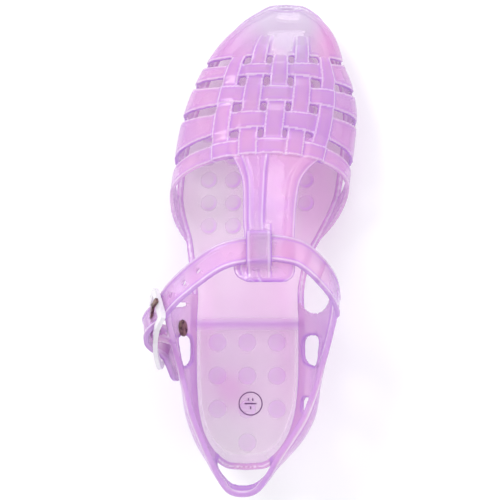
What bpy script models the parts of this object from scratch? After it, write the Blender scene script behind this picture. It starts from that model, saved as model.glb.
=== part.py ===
"""Woven jelly sandal for a left foot, standing empty on its sole.

The toe points to +Y, the big-toe side is +X and +Z is up. Lengths are in metres.
Every form is worked out from the named sizes below and from short tables whose
rows are sections and whose columns are shares of those sizes.
"""
import math

import bmesh
import bpy
from mathutils import Vector

# Main sizes of the sandal
sole_length = 0.248
ball_width = 0.097
heel_width = 0.061
seat_height = 0.027
sole_thickness = 0.0095
toe_spring = 0.007
spring_start = 0.78
waist_start = 0.28
waist_end = 0.60
instep_height = 0.082
counter_height = 0.063

# Walls, relief and fits
wall = 0.0022
strip_lift = 0.0011
clearance = 0.0003

# Welt rim round the top of the sole
rim_width = 0.0036
rim_height = 0.0024
rim_bite = 0.0016

# Sole details
heel_share = 0.31
breast_share = 0.008
flange_height = 0.003
flange_step = 0.001
sole_draft = 0.0014
heel_draft = 0.0036
sole_chamfer = 0.0008
tread_rim = 0.0028
tread_depth = 0.0012
nub_radius = 0.0041
forefoot_nub_pitch = 0.0132
forefoot_nub_row = 0.0125
heel_nub_pitch = 0.0158
heel_nub_row = 0.0177
nub_margin = 0.0108
nub_sides = 10
nub_taper = 0.93
forefoot_nub_start = 0.523
forefoot_nub_across = 0.0038
forefoot_nub_rows = 9
heel_nub_start = 0.262
heel_nub_across = -0.0015
heel_nub_rows = 4
heel_nub_size = 1.12

# T-bar, its ridges and the keeper loop over the ankle strap
tbar_width = 0.0262
tbar_centre = 0.0096
keeper_width = 0.0115
keeper_thickness = 0.0018
keeper_ramp = 0.0042
keeper_slack = 0.0012
keeper_turn = 0.47
keeper_slope = 0.86

# Ankle strap
strap_width = 0.0140
strap_thickness = 0.0024
strap_rib = 0.0005
strap_rib_width = 0.0016
strap_hole_radius = 0.0014
strap_hole_pitch = 0.0095
strap_side_lift = 0.0006

# Buckle and rivet
buckle_length = 0.0370
buckle_width = 0.0225
buckle_bar = 0.0036
buckle_thickness = 0.0023
middle_bar_radius = 0.0011
sleeve_wall = 0.0010
prong_thickness = 0.0015
prong_width = 0.0022
rivet_radius = 0.0044
rivet_thickness = 0.0010
tab_width = 0.0130
tab_thickness = 0.0022
tab_sink = 0.0012
tab_place = (1.5, 0.66)
rivet_place = (1.5, 0.40)

# Outline of the sole. Rows run from heel to toe: share of the length, then the lateral and
# medial edges as shares of the local width.
SOLE_ROWS = (
    (0.000, -0.148, 0.082),
    (0.012, -0.270, 0.205),
    (0.035, -0.369, 0.303),
    (0.080, -0.462, 0.402),
    (0.140, -0.508, 0.459),
    (0.220, -0.521, 0.479),
    (0.320, -0.518, 0.479),
    (0.403, -0.491, 0.457),
    (0.452, -0.449, 0.446),
    (0.500, -0.419, 0.466),
    (0.567, -0.415, 0.499),
    (0.629, -0.402, 0.524),
    (0.690, -0.376, 0.544),
    (0.754, -0.337, 0.557),
    (0.819, -0.280, 0.539),
    (0.871, -0.221, 0.495),
    (0.919, -0.150, 0.466),
    (0.945, -0.096, 0.442),
    (0.972, -0.016, 0.398),
    (0.986, 0.046, 0.354),
    (1.000, 0.140, 0.262),
)

# Sections of the last: share of the length, how far the upper bulges past the sole on the
# lateral and medial side and where its ridge lies (shares of ball_width), and the height of
# the ridge (share of instep_height).
LAST_ROWS = (
    (0.180, 0.092, 0.062, 0.060, 1.160),
    (0.280, 0.145, 0.110, 0.080, 1.140),
    (0.360, 0.168, 0.176, 0.093, 1.080),
    (0.420, 0.150, 0.160, 0.097, 1.010),
    (0.470, 0.118, 0.124, 0.097, 0.935),
    (0.520, 0.082, 0.088, 0.097, 0.860),
    (0.567, 0.046, 0.052, 0.095, 0.790),
    (0.629, 0.036, 0.041, 0.092, 0.695),
    (0.690, 0.042, 0.044, 0.095, 0.615),
    (0.754, 0.046, 0.046, 0.108, 0.545),
    (0.819, 0.046, 0.044, 0.124, 0.480),
    (0.871, 0.042, 0.042, 0.136, 0.432),
    (0.919, 0.036, 0.038, 0.152, 0.378),
    (0.945, 0.030, 0.034, 0.165, 0.338),
    (0.972, 0.022, 0.026, 0.180, 0.285),
    (0.986, 0.012, 0.015, 0.190, 0.262),
    (1.000, 0.005, 0.006, 0.200, 0.230),
)

# Lines across the vamp from toe to instep: share of the length at the lateral foot, lateral
# side, middle, medial side and medial foot of the line.
VAMP_LINES = (
    ("toe tip", 0.9985, 0.9985, 0.9985, 0.9985, 0.9985),
    ("toe turn", 0.9840, 0.9840, 0.9840, 0.9840, 0.9840),
    ("toe front", 0.9720, 0.9720, 0.9720, 0.9720, 0.9720),
    ("toe top", 0.9560, 0.9560, 0.9560, 0.9560, 0.9560),
    ("cap middle", 0.9290, 0.9290, 0.9320, 0.9300, 0.9300),
    ("cap strips", 0.9010, 0.9020, 0.9080, 0.9050, 0.9050),
    ("cap rear", 0.8720, 0.8760, 0.8860, 0.8820, 0.8820),
    ("band 1 front", 0.8590, 0.8630, 0.8660, 0.8720, 0.8710),
    ("band 1 rear", 0.8200, 0.8260, 0.8370, 0.8120, 0.8060),
    ("band 2 front", 0.8080, 0.8140, 0.8130, 0.7990, 0.7940),
    ("band 2 rear", 0.7420, 0.7560, 0.7760, 0.7460, 0.7320),
    ("band 3 front", 0.7260, 0.7400, 0.7560, 0.7310, 0.7160),
    ("band 3 rear", 0.6380, 0.6680, 0.7190, 0.6620, 0.6380),
    ("band 4 front", 0.5740, 0.6400, 0.6970, 0.6370, 0.5740),
    ("band 4 rear", 0.4800, 0.5960, 0.6620, 0.5990, 0.4870),
)
LINE_SPOTS = (0.0, 0.13, 0.50, 0.87, 1.0)

# Columns of the vamp beside the weave.
lateral_columns = 5
medial_columns = 4

# Lengthwise strips of the weave: turn across the last at the toe and at the instep, and
# whether the strip lies over the even bands.
STRIP_ROWS = (
    ("strip 1", 0.352, 0.365, False),
    ("strip 2", 0.438, 0.445, True),
    ("strip 3", 0.520, 0.512, False),
    ("strip 4", 0.603, 0.574, True),
    ("strip 5", 0.712, 0.645, False),
)
STRIP_HALF_TURN = (0.0300, 0.0270)

# T-bar from band 4 to its tab: share of the length, and its edges as shares of tbar_width
# from the bar's centre.
TBAR_ROWS = (
    (0.700, -0.78, 1.10),
    (0.668, -0.74, 1.06),
    (0.650, -0.66, 0.92),
    (0.632, -0.58, 0.74),
    (0.605, -0.51, 0.59),
    (0.570, -0.49, 0.52),
    (0.530, -0.49, 0.48),
    (0.490, -0.47, 0.46),
    (0.455, -0.52, 0.46),
    (0.430, -0.66, 0.46),
    (0.415, -0.60, 0.42),
    (0.404, -0.40, 0.28),
)
TBAR_COLUMNS = (0.0, 0.10, 0.40, 0.56, 0.80, 0.93, 1.0)

# How far up the cage's wall its bulge lies, and how far forward the wall's middle looks from.
cage_bend = 0.45
cage_reach = 1.5
cage_heart_end = 0.30
cage_heart_pull = 0.8
cage_heart_shift = 0.020

# Heel cage stations from the lateral front round the heel to the medial front: side of the
# sole, share of the length at the foot, then the top edge across (share of heel_width), along
# (share of sole_length) and up (share of counter_height), and the bulge (share of heel_width).
CAGE_ROWS = (
    ("lateral", 0.3480, -0.697, 0.350, 0.900, 0.072),
    ("lateral", 0.3190, -0.672, 0.322, 0.900, 0.084),
    ("lateral", 0.2900, -0.642, 0.293, 0.900, 0.084),
    ("lateral", 0.2600, -0.608, 0.259, 0.900, 0.080),
    ("lateral", 0.2290, -0.574, 0.229, 0.905, 0.080),
    ("lateral", 0.1850, -0.526, 0.184, 0.920, 0.090),
    ("lateral", 0.1330, -0.470, 0.132, 0.940, 0.100),
    ("lateral", 0.0800, -0.385, 0.080, 0.960, 0.090),
    ("lateral", 0.0420, -0.312, 0.038, 0.975, 0.066),
    ("lateral", 0.0180, -0.245, 0.006, 0.985, 0.042),
    ("lateral", 0.0000, -0.170, -0.020, 0.995, 0.022),
    ("middle", 0.0000, -0.070, -0.027, 1.000, 0.012),
    ("medial", 0.0000, 0.035, -0.021, 0.995, 0.022),
    ("medial", 0.0120, 0.122, 0.004, 0.990, 0.050),
    ("medial", 0.0400, 0.225, 0.048, 0.980, 0.090),
    ("medial", 0.0820, 0.335, 0.090, 0.970, 0.140),
    ("medial", 0.1270, 0.430, 0.128, 0.960, 0.165),
    ("medial", 0.1630, 0.495, 0.165, 0.955, 0.155),
    ("medial", 0.1980, 0.546, 0.198, 0.955, 0.120),
    ("medial", 0.2300, 0.586, 0.232, 0.960, 0.090),
    ("medial", 0.2590, 0.628, 0.266, 0.970, 0.070),
    ("medial", 0.2870, 0.664, 0.300, 0.985, 0.056),
    ("medial", 0.3220, 0.702, 0.342, 1.005, 0.040),
    ("medial", 0.3540, 0.708, 0.388, 1.020, 0.030),
)
CAGE_LEVELS = (0.0, 0.10, 0.26, 0.42, 0.58, 0.74, 0.87, 1.0)

# Openings of the heel cage: first and last station, first and last level.
CAGE_HOLES = (
    ("lateral window", 2, 4, 1, 4),
    ("heel window", 9, 13, 0, 5),
    ("medial rear window", 16, 17, 1, 3),
    ("medial window", 19, 21, 1, 4),
)

# Route of the ankle strap from the medial cage over the instep to its tail: turn across the
# last and share of the length.
STRAP_ROWS = (
    (0.790, 0.350),
    (0.750, 0.375),
    (0.704, 0.400),
    (0.640, 0.431),
    (0.570, 0.457),
    (0.500, 0.464),
    (0.430, 0.455),
    (0.350, 0.420),
    (0.280, 0.380),
    (0.220, 0.344),
    (0.165, 0.306),
    (0.120, 0.266),
    (0.085, 0.233),
    (0.060, 0.198),
)
strap_root_end = 0.026
buckle_place = 0.1315
strap_steps = 46


def smooth(low, high, value):
    """Ease from 0 at low to 1 at high."""
    share = min(max((value - low) / (high - low), 0.0), 1.0)
    return share * share * (3.0 - 2.0 * share)


def curve_through(knots, values, where):
    """Read a smooth curve that passes through the knots without overshooting them."""
    count = len(knots)
    if where <= knots[0]:
        return values[0]
    if where >= knots[-1]:
        return values[-1]
    index = 0
    while where > knots[index + 1]:
        index += 1
    steps = [knots[i + 1] - knots[i] for i in range(count - 1)]
    rises = [(values[i + 1] - values[i]) / steps[i] for i in range(count - 1)]

    def slope(i):
        if i == 0:
            return rises[0]
        if i == count - 1:
            return rises[-1]
        if rises[i - 1] * rises[i] <= 0.0:
            return 0.0
        first = 2.0 * steps[i] + steps[i - 1]
        second = steps[i] + 2.0 * steps[i - 1]
        return (first + second) / (first / rises[i - 1] + second / rises[i])

    step = steps[index]
    share = (where - knots[index]) / step
    squared = share * share
    cubed = squared * share
    return (
        (2.0 * cubed - 3.0 * squared + 1.0) * values[index]
        + (cubed - 2.0 * squared + share) * step * slope(index)
        + (3.0 * squared - 2.0 * cubed) * values[index + 1]
        + (cubed - squared) * step * slope(index + 1)
    )


def round_share(share):
    """Angle whose cosine gives the share, so that curves read by it close round ends."""
    return math.acos(1.0 - 2.0 * min(max(share, 0.0), 1.0))


SOLE_KNOTS = [round_share(row[0]) for row in SOLE_ROWS]
LAST_KNOTS = [-math.sqrt(1.0 - row[0]) for row in LAST_ROWS]
STRIP_FRONT = 0.930
STRIP_REAR = 0.662


def local_width(share):
    """Width that the outline's shares refer to, from the heel to the ball."""
    return heel_width + (ball_width - heel_width) * smooth(0.35, 0.60, share)


def sole_edge(side, share):
    """Distance across of the sole's edge: side -1 is lateral, 1 is medial."""
    column = 1 if side < 0 else 2
    values = [row[column] for row in SOLE_ROWS]
    return curve_through(SOLE_KNOTS, values, round_share(share)) * local_width(share)


def footbed(share):
    """Height of the sole's top."""
    fall = smooth(waist_start, waist_end, share) * (seat_height - sole_thickness)
    spring = toe_spring * max(0.0, (share - spring_start) / (1.0 - spring_start)) ** 2
    return seat_height - fall + spring


def underside(share):
    """Height of the sole's tread line: flat heel, arched waist, flat ball, sprung toe."""
    if share <= heel_share:
        return 0.0
    raised = max(0.0, footbed(share) - sole_thickness)
    return raised * smooth(heel_share, heel_share + breast_share, share)


def outline_loop(shares, offset):
    """Closed outline of the sole, moved outward by offset(share): lateral side up, medial back."""
    points = [Vector((sole_edge(-1, s), s * sole_length, 0.0)) for s in shares]
    tip = Vector((0.5 * (sole_edge(-1, 1.0) + sole_edge(1, 1.0)), sole_length * 1.002, 0.0))
    points.append(tip)
    points += [Vector((sole_edge(1, s), s * sole_length, 0.0)) for s in reversed(shares)]
    points.append(Vector((0.5 * (sole_edge(-1, 0.0) + sole_edge(1, 0.0)), -0.002 * sole_length, 0.0)))
    at = list(shares) + [1.0] + list(reversed(shares)) + [0.0]
    count = len(points)
    moved = []
    for index, point in enumerate(points):
        ahead = points[(index + 1) % count] - points[index - 1]
        outward = Vector((-ahead.y, ahead.x, 0.0)).normalized()
        moved.append(point + outward * offset(at[index]))
    return moved, at


def last_section(share):
    """Sizes of one section of the last."""
    knot = -math.sqrt(max(0.0, 1.0 - share))
    columns = [[row[c] for row in LAST_ROWS] for c in range(1, 5)]
    lateral_out, medial_out, ridge_across, ridge_up = [
        curve_through(LAST_KNOTS, column, knot) for column in columns
    ]
    skin = wall + strip_lift
    inset = rim_width - (rim_width - wall) * 0.5
    ridge = ridge_across * ball_width
    lateral = ridge - sole_edge(-1, share)
    medial = sole_edge(1, share) - ridge
    return {
        "ridge": ridge,
        "top": ridge_up * instep_height,
        "foot": footbed(share) + clearance + 0.5 * rim_bite,
        "wide": (lateral + lateral_out * ball_width - skin, medial + medial_out * ball_width - skin),
        "narrow": (lateral - inset, medial - inset),
    }


def last_point(share, turn):
    """Point of the last: turn runs from 0 at the lateral foot to 1 at the medial foot."""
    section = last_section(share)
    side = 0 if turn <= 0.5 else 1
    part = turn if side == 0 else 1.0 - turn
    wide = section["wide"][side]
    narrow = min(section["narrow"][side], wide * 0.999)
    under = math.acos(narrow / wide)
    angle = -under + (0.5 * math.pi + under) * part * 2.0
    rise = (section["top"] - section["foot"]) / (1.0 + math.sin(under))
    reach = wide * math.cos(angle)
    across = section["ridge"] - reach if side == 0 else section["ridge"] + reach
    pull = rim_width * smooth(0.75, 1.0, share)
    along = share * sole_length - pull
    return Vector((across, along, section["top"] - rise * (1.0 - math.sin(angle))))


def last_turn(share, across):
    """Turn at which the last's section reaches a distance across."""
    section = last_section(share)
    side = 0 if across <= section["ridge"] else 1
    reach = abs(section["ridge"] - across)
    wide = section["wide"][side]
    narrow = min(section["narrow"][side], wide * 0.999)
    under = math.acos(narrow / wide)
    angle = math.acos(min(reach / wide, 1.0))
    part = 0.5 * (angle + under) / (0.5 * math.pi + under)
    return part if side == 0 else 1.0 - part


def last_normal(share, turn):
    """Direction that leaves the last."""
    step = 0.002
    back = last_point(max(share - step, 0.0), turn)
    ahead = last_point(min(share + step, 0.9995), turn)
    left = last_point(share, max(turn - step, 0.0))
    right = last_point(share, min(turn + step, 1.0))
    return (right - left).cross(ahead - back).normalized()


def on_last(share, turn, lift):
    return last_point(share, turn) + last_normal(share, turn) * lift


def remove_scene_objects():
    for item in list(bpy.data.objects):
        bpy.data.objects.remove(item, do_unlink=True)


def make_material(name, colour, roughness, metallic=0.0, transmission=0.0):
    material = bpy.data.materials.new(name)
    material.use_nodes = True
    shader = material.node_tree.nodes["Principled BSDF"]
    shader.inputs["Base Color"].default_value = (*colour, 1.0)
    shader.inputs["Roughness"].default_value = roughness
    shader.inputs["Metallic"].default_value = metallic
    shader.inputs["Transmission Weight"].default_value = transmission
    return material


def make_object(name, points, faces, material=None):
    """Make one closed mesh object with triangles that face outward."""
    mesh = bpy.data.meshes.new(name)
    mesh.from_pydata([tuple(point) for point in points], [], faces)
    work = bmesh.new()
    work.from_mesh(mesh)
    bmesh.ops.recalc_face_normals(work, faces=work.faces)
    bmesh.ops.triangulate(work, faces=work.faces)
    work.to_mesh(mesh)
    work.free()
    item = bpy.data.objects.new(name, mesh)
    bpy.context.scene.collection.objects.link(item)
    if material:
        mesh.materials.append(material)
    return item


def combine(item, other, operation):
    """Join a helper to an object, or cut it from it, and delete the helper."""
    modifier = item.modifiers.new("Combine", "BOOLEAN")
    modifier.operation = operation
    modifier.solver = "EXACT"
    modifier.object = other
    graph = bpy.context.evaluated_depsgraph_get()
    result = bpy.data.meshes.new_from_object(item.evaluated_get(graph))
    item.modifiers.clear()
    material = item.data.materials[0] if item.data.materials else None
    item.data = result
    item.data.materials.clear()
    if material:
        item.data.materials.append(material)
    bpy.data.objects.remove(other, do_unlink=True)


def round_shading(item, degrees=38.0):
    item.data.shade_smooth()
    item.data.set_sharp_from_angle(angle=math.radians(degrees))


def loft(name, loops, closed_path=False, material=None):
    """Skin a row of closed loops with equal point counts, and cap the ends of an open row."""
    size = len(loops[0])
    points = [point for loop in loops for point in loop]
    faces = []
    last = len(loops) if closed_path else len(loops) - 1
    for row in range(last):
        after = (row + 1) % len(loops)
        for k in range(size):
            following = (k + 1) % size
            here, there = row * size, after * size
            faces.append((here + k, here + following, there + following, there + k))
    if not closed_path:
        faces.append(tuple(range(size)))
        faces.append(tuple((len(loops) - 1) * size + k for k in reversed(range(size))))
    return make_object(name, points, faces, material)


def lattice(name, rows, columns, place, cells, material=None):
    """Make a wall from a lattice of cells.

    place(row, column, level) gives a point, with level 0 on the inner face. cells[row][column]
    is None for an opening, or the outer levels of its corners in the order (row, column),
    (row + 1, column), (row + 1, column + 1), (row, column + 1). Steps between levels and the
    edges of openings become walls.
    """
    levels = {}
    for r in range(rows):
        for c in range(columns):
            for (dr, dc), corner in zip(((0, 0), (1, 0), (1, 1), (0, 1)), range(4)):
                used = levels.setdefault((r + dr, c + dc), set())
                used.add(0)
                if cells[r][c]:
                    used.add(cells[r][c][corner])
    index = {}
    points = []

    def vertex(r, c, level):
        key = (r, c, level)
        if key not in index:
            index[key] = len(points)
            points.append(place(r, c, level))
        return index[key]

    def rung(r, c, low, high):
        return [vertex(r, c, level) for level in sorted(levels[(r, c)]) if low <= level <= high]

    faces = []
    for r in range(rows):
        for c in range(columns):
            cell = cells[r][c]
            if not cell:
                continue
            corners = ((r, c), (r + 1, c), (r + 1, c + 1), (r, c + 1))
            faces.append(tuple(vertex(*corner, level) for corner, level in zip(corners, cell)))
            faces.append(tuple(vertex(*corner, 0) for corner in reversed(corners)))
            neighbours = ((r, c - 1, 3, 2), (r + 1, c, 0, 3), (r, c + 1, 1, 0), (r - 1, c, 2, 1))
            for side, (nr, nc, first, second) in enumerate(neighbours):
                start = corners[side]
                end = corners[(side + 1) % 4]
                inside = 0 <= nr < rows and 0 <= nc < columns
                other = cells[nr][nc] if inside else None
                low_start = other[first] if other else 0
                low_end = other[second] if other else 0
                high_start = cell[side]
                high_end = cell[(side + 1) % 4]
                if high_start <= low_start and high_end <= low_end:
                    continue
                going_up = rung(*end, low_end, high_end)
                coming_down = list(reversed(rung(*start, low_start, high_start)))
                faces.append(tuple(going_up + coming_down))
    return make_object(name, points, [face for face in faces if len(set(face)) > 2], material)


def full_cells(rows, columns, level=1):
    return [[(level,) * 4 for _ in range(columns)] for _ in range(rows)]


def sole_shares():
    """Rows of the sole: even on the round ends, and close on both sides of the heel breast."""
    breast = [0.283, 0.292, heel_share, heel_share + breast_share]
    even = [0.5 - 0.5 * math.cos(math.pi * k / 34.0) for k in range(35)]
    kept = [s for s in even if all(abs(s - b) > 0.008 for b in breast)]
    return sorted(kept + breast)


def tread_recess(share):
    """Depth of the field between the tread's rim and its nubs."""
    heel = smooth(0.040, 0.060, share) * (1.0 - smooth(0.284, 0.291, share))
    ball = smooth(0.490, 0.520, share) * (1.0 - smooth(0.950, 0.975, share))
    return tread_depth * max(heel, ball)


def make_sole(material):
    shares = sole_shares()

    def draft(share):
        block = 1.0 - smooth(heel_share, heel_share + 0.02, share)
        return sole_draft + (heel_draft - sole_draft) * block

    rings = (
        (lambda s: 0.0, lambda s: footbed(s)),
        (lambda s: 0.0, lambda s: footbed(s) - flange_height),
        (lambda s: -flange_step, lambda s: footbed(s) - flange_height - flange_step * 0.6),
        (lambda s: -draft(s), lambda s: underside(s) + sole_chamfer),
        (lambda s: -draft(s) - sole_chamfer, lambda s: underside(s)),
        (lambda s: -draft(s) - sole_chamfer - tread_rim, lambda s: underside(s)),
        (lambda s: -draft(s) - sole_chamfer * 2.0 - tread_rim, lambda s: underside(s) + tread_recess(s)),
    )
    loops = []
    for offset, height in rings:
        flat, at = outline_loop(shares, offset)
        loops.append([Vector((p.x, p.y, height(s))) for p, s in zip(flat, at)])
    size = len(loops[0])
    points = [point for loop in loops for point in loop]
    faces = []
    for row in range(len(loops) - 1):
        for k in range(size):
            following = (k + 1) % size
            here, there = row * size, (row + 1) * size
            faces.append((here + k, there + k, there + following, here + following))

    def close(loop_row, columns, height):
        """Fill a loop with a grid that follows the height from heel to toe."""
        base = loop_row * size
        count = len(shares)
        grid = []
        for k in range(count):
            left = base + k
            right = base + 2 * count - k
            row = [left]
            for c in range(1, columns):
                spot = points[left].lerp(points[right], c / columns)
                points.append(Vector((spot.x, spot.y, height(shares[k]))))
                row.append(len(points) - 1)
            row.append(right)
            grid.append(row)
        for k in range(count - 1):
            for c in range(columns):
                faces.append((grid[k][c], grid[k + 1][c], grid[k + 1][c + 1], grid[k][c + 1]))
        toe = base + count
        heel = base + 2 * count + 1
        for c in range(columns):
            faces.append((grid[-1][c], toe, grid[-1][c + 1]))
            faces.append((grid[0][c], grid[0][c + 1], heel))

    close(0, 4, footbed)
    close(len(rings) - 1, 3, lambda s: underside(s) + tread_recess(s))
    sole = make_object("outsole", points, faces, material)
    combine(sole, make_nubs(), "UNION")
    round_shading(sole)
    return sole


def nub_spots():
    """Middles of the round tread nubs under the ball and under the heel."""
    spots = []
    for row in range(forefoot_nub_rows):
        share = forefoot_nub_start + row * forefoot_nub_row / sole_length
        for column in range(-4, 6):
            spots.append((share, forefoot_nub_across + column * forefoot_nub_pitch, nub_radius))
    for row in range(heel_nub_rows):
        share = heel_nub_start - row * heel_nub_row / sole_length
        for column in range(-1, 2):
            spots.append((share, heel_nub_across + column * heel_nub_pitch, nub_radius * heel_nub_size))
    kept = []
    for share, across, radius in spots:
        if not 0.03 < share < 0.95:
            continue
        room = nub_margin * (1.0 + 0.25 * smooth(0.88, 0.95, share))
        reach = radius / sole_length
        ahead = max(sole_edge(-1, share + reach), sole_edge(-1, share - reach), sole_edge(-1, share))
        astern = min(sole_edge(1, share + reach), sole_edge(1, share - reach), sole_edge(1, share))
        if ahead + room < across < astern - room:
            kept.append((share, across, radius))
    return kept


def make_nubs():
    points = []
    faces = []
    for share, across, radius in nub_spots():
        base = len(points)
        foot = underside(share)
        for height, size in ((foot + tread_depth * 2.5, radius), (foot, radius * nub_taper)):
            for k in range(nub_sides):
                angle = 2.0 * math.pi * (k + 0.5) / nub_sides
                x = across + size * math.cos(angle)
                y = share * sole_length + size * math.sin(angle)
                points.append(Vector((x, y, height)))
        for k in range(nub_sides):
            following = (k + 1) % nub_sides
            faces.append((base + k, base + following, base + nub_sides + following, base + nub_sides + k))
        faces.append(tuple(base + k for k in range(nub_sides)))
        faces.append(tuple(base + nub_sides + k for k in reversed(range(nub_sides))))
    return make_object("nubs", points, faces)


def make_rim():
    """Welt rim that joins the vamp and the cage all round the sole."""
    shares = sole_shares()
    sections = []
    for offset, lift in (
        (-rim_width, clearance),
        (0.0, clearance),
        (0.0, clearance + rim_height * 0.75),
        (-rim_width * 0.25, clearance + rim_height),
        (-rim_width * 0.80, clearance + rim_height),
        (-rim_width, clearance + rim_height * 0.75),
    ):
        flat, at = outline_loop(shares, lambda s, o=offset: o)
        sections.append([Vector((p.x, p.y, footbed(s) + lift)) for p, s in zip(flat, at)])
    rings = [[section[k] for section in sections] for k in range(len(sections[0]))]
    return loft("upper rim", rings, closed_path=True)


def above_bed(spot):
    """Keep the foot of a wall inside the rim and off the sole."""
    floor = footbed(min(max(spot.y / sole_length, 0.0), 1.0)) + clearance + 0.25 * rim_bite
    return Vector((spot.x, spot.y, max(spot.z, floor)))


def vamp_lines():
    """Lines across the vamp with short steps between far ones."""
    lines = [row[1:] for row in VAMP_LINES]
    names = [row[0] for row in VAMP_LINES]
    return names, lines


def line_share(line, turn):
    return curve_through(LINE_SPOTS, line, turn)


def strip_edges(progress):
    """Turns of both edges of each lengthwise strip: progress is 0 at the toe, 1 at the instep."""
    half = STRIP_HALF_TURN[0] + (STRIP_HALF_TURN[1] - STRIP_HALF_TURN[0]) * progress
    edges = []
    for _, front, rear, _ in STRIP_ROWS:
        middle = front + (rear - front) * progress
        edges += [middle - half, middle + half]
    return edges


def vamp_turns(share):
    """Turns of the vamp's columns at a place along the shoe."""
    progress = min(max((STRIP_FRONT - share) / (STRIP_FRONT - STRIP_REAR), 0.0), 1.0)
    edges = strip_edges(progress)
    lateral = [edges[0] * k / lateral_columns for k in range(lateral_columns)]
    medial = [1.0 - (1.0 - edges[-1]) * k / medial_columns for k in reversed(range(medial_columns))]
    return lateral + edges + medial


def make_vamp():
    """Toe cap, four cross bands and five lengthwise strips as one wall with raised crossings."""
    names, lines = vamp_lines()
    rows = len(lines) - 1
    strips = len(STRIP_ROWS)
    columns = len(vamp_turns(0.9)) - 1
    lifts = (0.0, wall, wall + strip_lift)
    cells = [[None] * columns for _ in range(rows)]
    for r in range(rows):
        front, rear = names[r], names[r + 1]
        is_cap = r < names.index("cap rear")
        is_band = front.startswith("band") and front.endswith("front")
        band = int(front.split()[1]) if front.startswith("band") else 0
        for c in range(columns):
            strip = c - lateral_columns
            on_weave = 0 <= strip < 2 * strips - 1
            on_strip = on_weave and strip % 2 == 0
            over_even = on_strip and STRIP_ROWS[strip // 2][3]
            if is_cap:
                raised = on_strip and over_even and rear in ("cap strips", "cap rear")
                cells[r][c] = (2,) * 4 if raised and rear == "cap rear" else (1,) * 4
                if raised and rear == "cap strips":
                    cells[r][c] = (1, 2, 2, 1)
            elif is_band:
                even = band % 2 == 0
                if not on_weave:
                    cells[r][c] = (1,) * 4
                elif on_strip:
                    cells[r][c] = (2,) * 4
                else:
                    left_over = STRIP_ROWS[strip // 2][3] != even
                    right_over = STRIP_ROWS[strip // 2 + 1][3] != even
                    left = 2 if left_over else 1
                    right = 2 if right_over else 1
                    cells[r][c] = (left, left, right, right)
            else:
                if on_strip:
                    ahead_even = band % 2 == 0
                    ahead_over = over_even == ahead_even
                    front_level = 2 if ahead_over else 1
                    rear_level = 1 if ahead_over else 2
                    cells[r][c] = (front_level, rear_level, rear_level, front_level)
                elif c in (0, columns - 1):
                    cells[r][c] = (1,) * 4 if rear != "band 4 front" else None
                else:
                    cells[r][c] = None

    def place(r, c, level):
        middle = line_share(lines[r], 0.5)
        turn = vamp_turns(middle)[c]
        share = line_share(lines[r], turn)
        return above_bed(on_last(share, turn, lifts[level]))

    return lattice("upper vamp", rows, columns, place, cells)


def tbar_across(share, part):
    knots = [-row[0] for row in TBAR_ROWS]
    left = curve_through(knots, [row[1] for row in TBAR_ROWS], -share) * tbar_width
    right = curve_through(knots, [row[2] for row in TBAR_ROWS], -share) * tbar_width
    return tbar_centre + left + (right - left) * part


def make_tbar():
    """Plate from band 4 up the instep, with a raised ridge, a raised edge and a round tab."""
    shares = [row[0] for row in TBAR_ROWS]
    rows = len(shares) - 1
    columns = len(TBAR_COLUMNS) - 1
    lifts = (0.0004, wall - 0.0001, wall + strip_lift * 0.8)
    cells = full_cells(rows, columns)
    for r in range(2, rows - 3):
        cells[r][1] = (2,) * 4
        cells[r][4] = (2,) * 4

    def place(r, c, level):
        turn = last_turn(shares[r], tbar_across(shares[r], TBAR_COLUMNS[c]))
        return on_last(shares[r], turn, lifts[level])

    return lattice("upper tbar", rows, columns, place, cells)


def strap_bed():
    """Lift of the ankle strap's inner face where it lies on the T-bar."""
    return wall + strip_lift * 0.8 + clearance


def make_keeper():
    """Loop that holds the ankle strap down on the T-bar."""
    middle = curve_through([row[0] for row in reversed(STRAP_ROWS)],
                           [row[1] for row in reversed(STRAP_ROWS)], keeper_turn)
    half = 0.5 * strap_width + keeper_slack
    roof = strap_bed() + strap_thickness + strap_rib + clearance
    stops = (
        (half + keeper_ramp + 0.0035, wall * 0.5),
        (half + keeper_ramp, wall * 0.5),
        (half + 0.0004, roof),
        (half * 0.4, roof),
        (-half * 0.4, roof),
        (-half - 0.0004, roof),
        (-half - keeper_ramp, wall * 0.5),
        (-half - keeper_ramp - 0.0020, wall * 0.5),
    )
    left = tbar_across(middle, 0.10)
    columns = 3

    def place(r, c, level):
        run, low = stops[r]
        share = middle + run * keeper_slope / sole_length
        across = left + keeper_width * c / columns
        return on_last(share, last_turn(share, across), low + keeper_thickness * level)

    return lattice("upper keeper", len(stops) - 1, columns, place, full_cells(len(stops) - 1, columns))


def cage_foot(side, share):
    """Where the cage's wall stands on the rim."""
    inset = (rim_width + wall) * 0.5
    if side == "middle":
        across = 0.5 * (sole_edge(-1, 0.0) + sole_edge(1, 0.0))
        return Vector((across, inset, footbed(0.0) + clearance + rim_bite * 0.5))
    sign = -1 if side == "lateral" else 1
    step = 0.004
    low = max(share - step, 0.0)
    high = share + step
    ahead = Vector((sole_edge(sign, high) - sole_edge(sign, low), (high - low) * sole_length, 0.0))
    outward = Vector((ahead.y, -ahead.x, 0.0)).normalized() * sign
    if share == 0.0:
        outward = Vector((0.35 * sign, -0.94, 0.0))
    height = footbed(share) + clearance + rim_bite * 0.5
    return Vector((sole_edge(sign, share), share * sole_length, height)) - outward * inset


def cage_point(station, level):
    side, share, across, along, up, bulge = station
    foot = cage_foot(side, share)
    top = Vector((across * heel_width, along * sole_length, up * counter_height))
    along_heart = min(foot.y, cage_heart_end * sole_length) * cage_heart_pull + cage_heart_shift
    heart = Vector((0.0, along_heart, foot.z))
    outward = foot - heart
    outward.z = 0.0
    outward.normalize()
    middle = foot.lerp(top, cage_bend) + outward * bulge * heel_width * cage_reach
    rest = 1.0 - level
    return foot * rest * rest + middle * (2.0 * level * rest) + top * (level * level)


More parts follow.
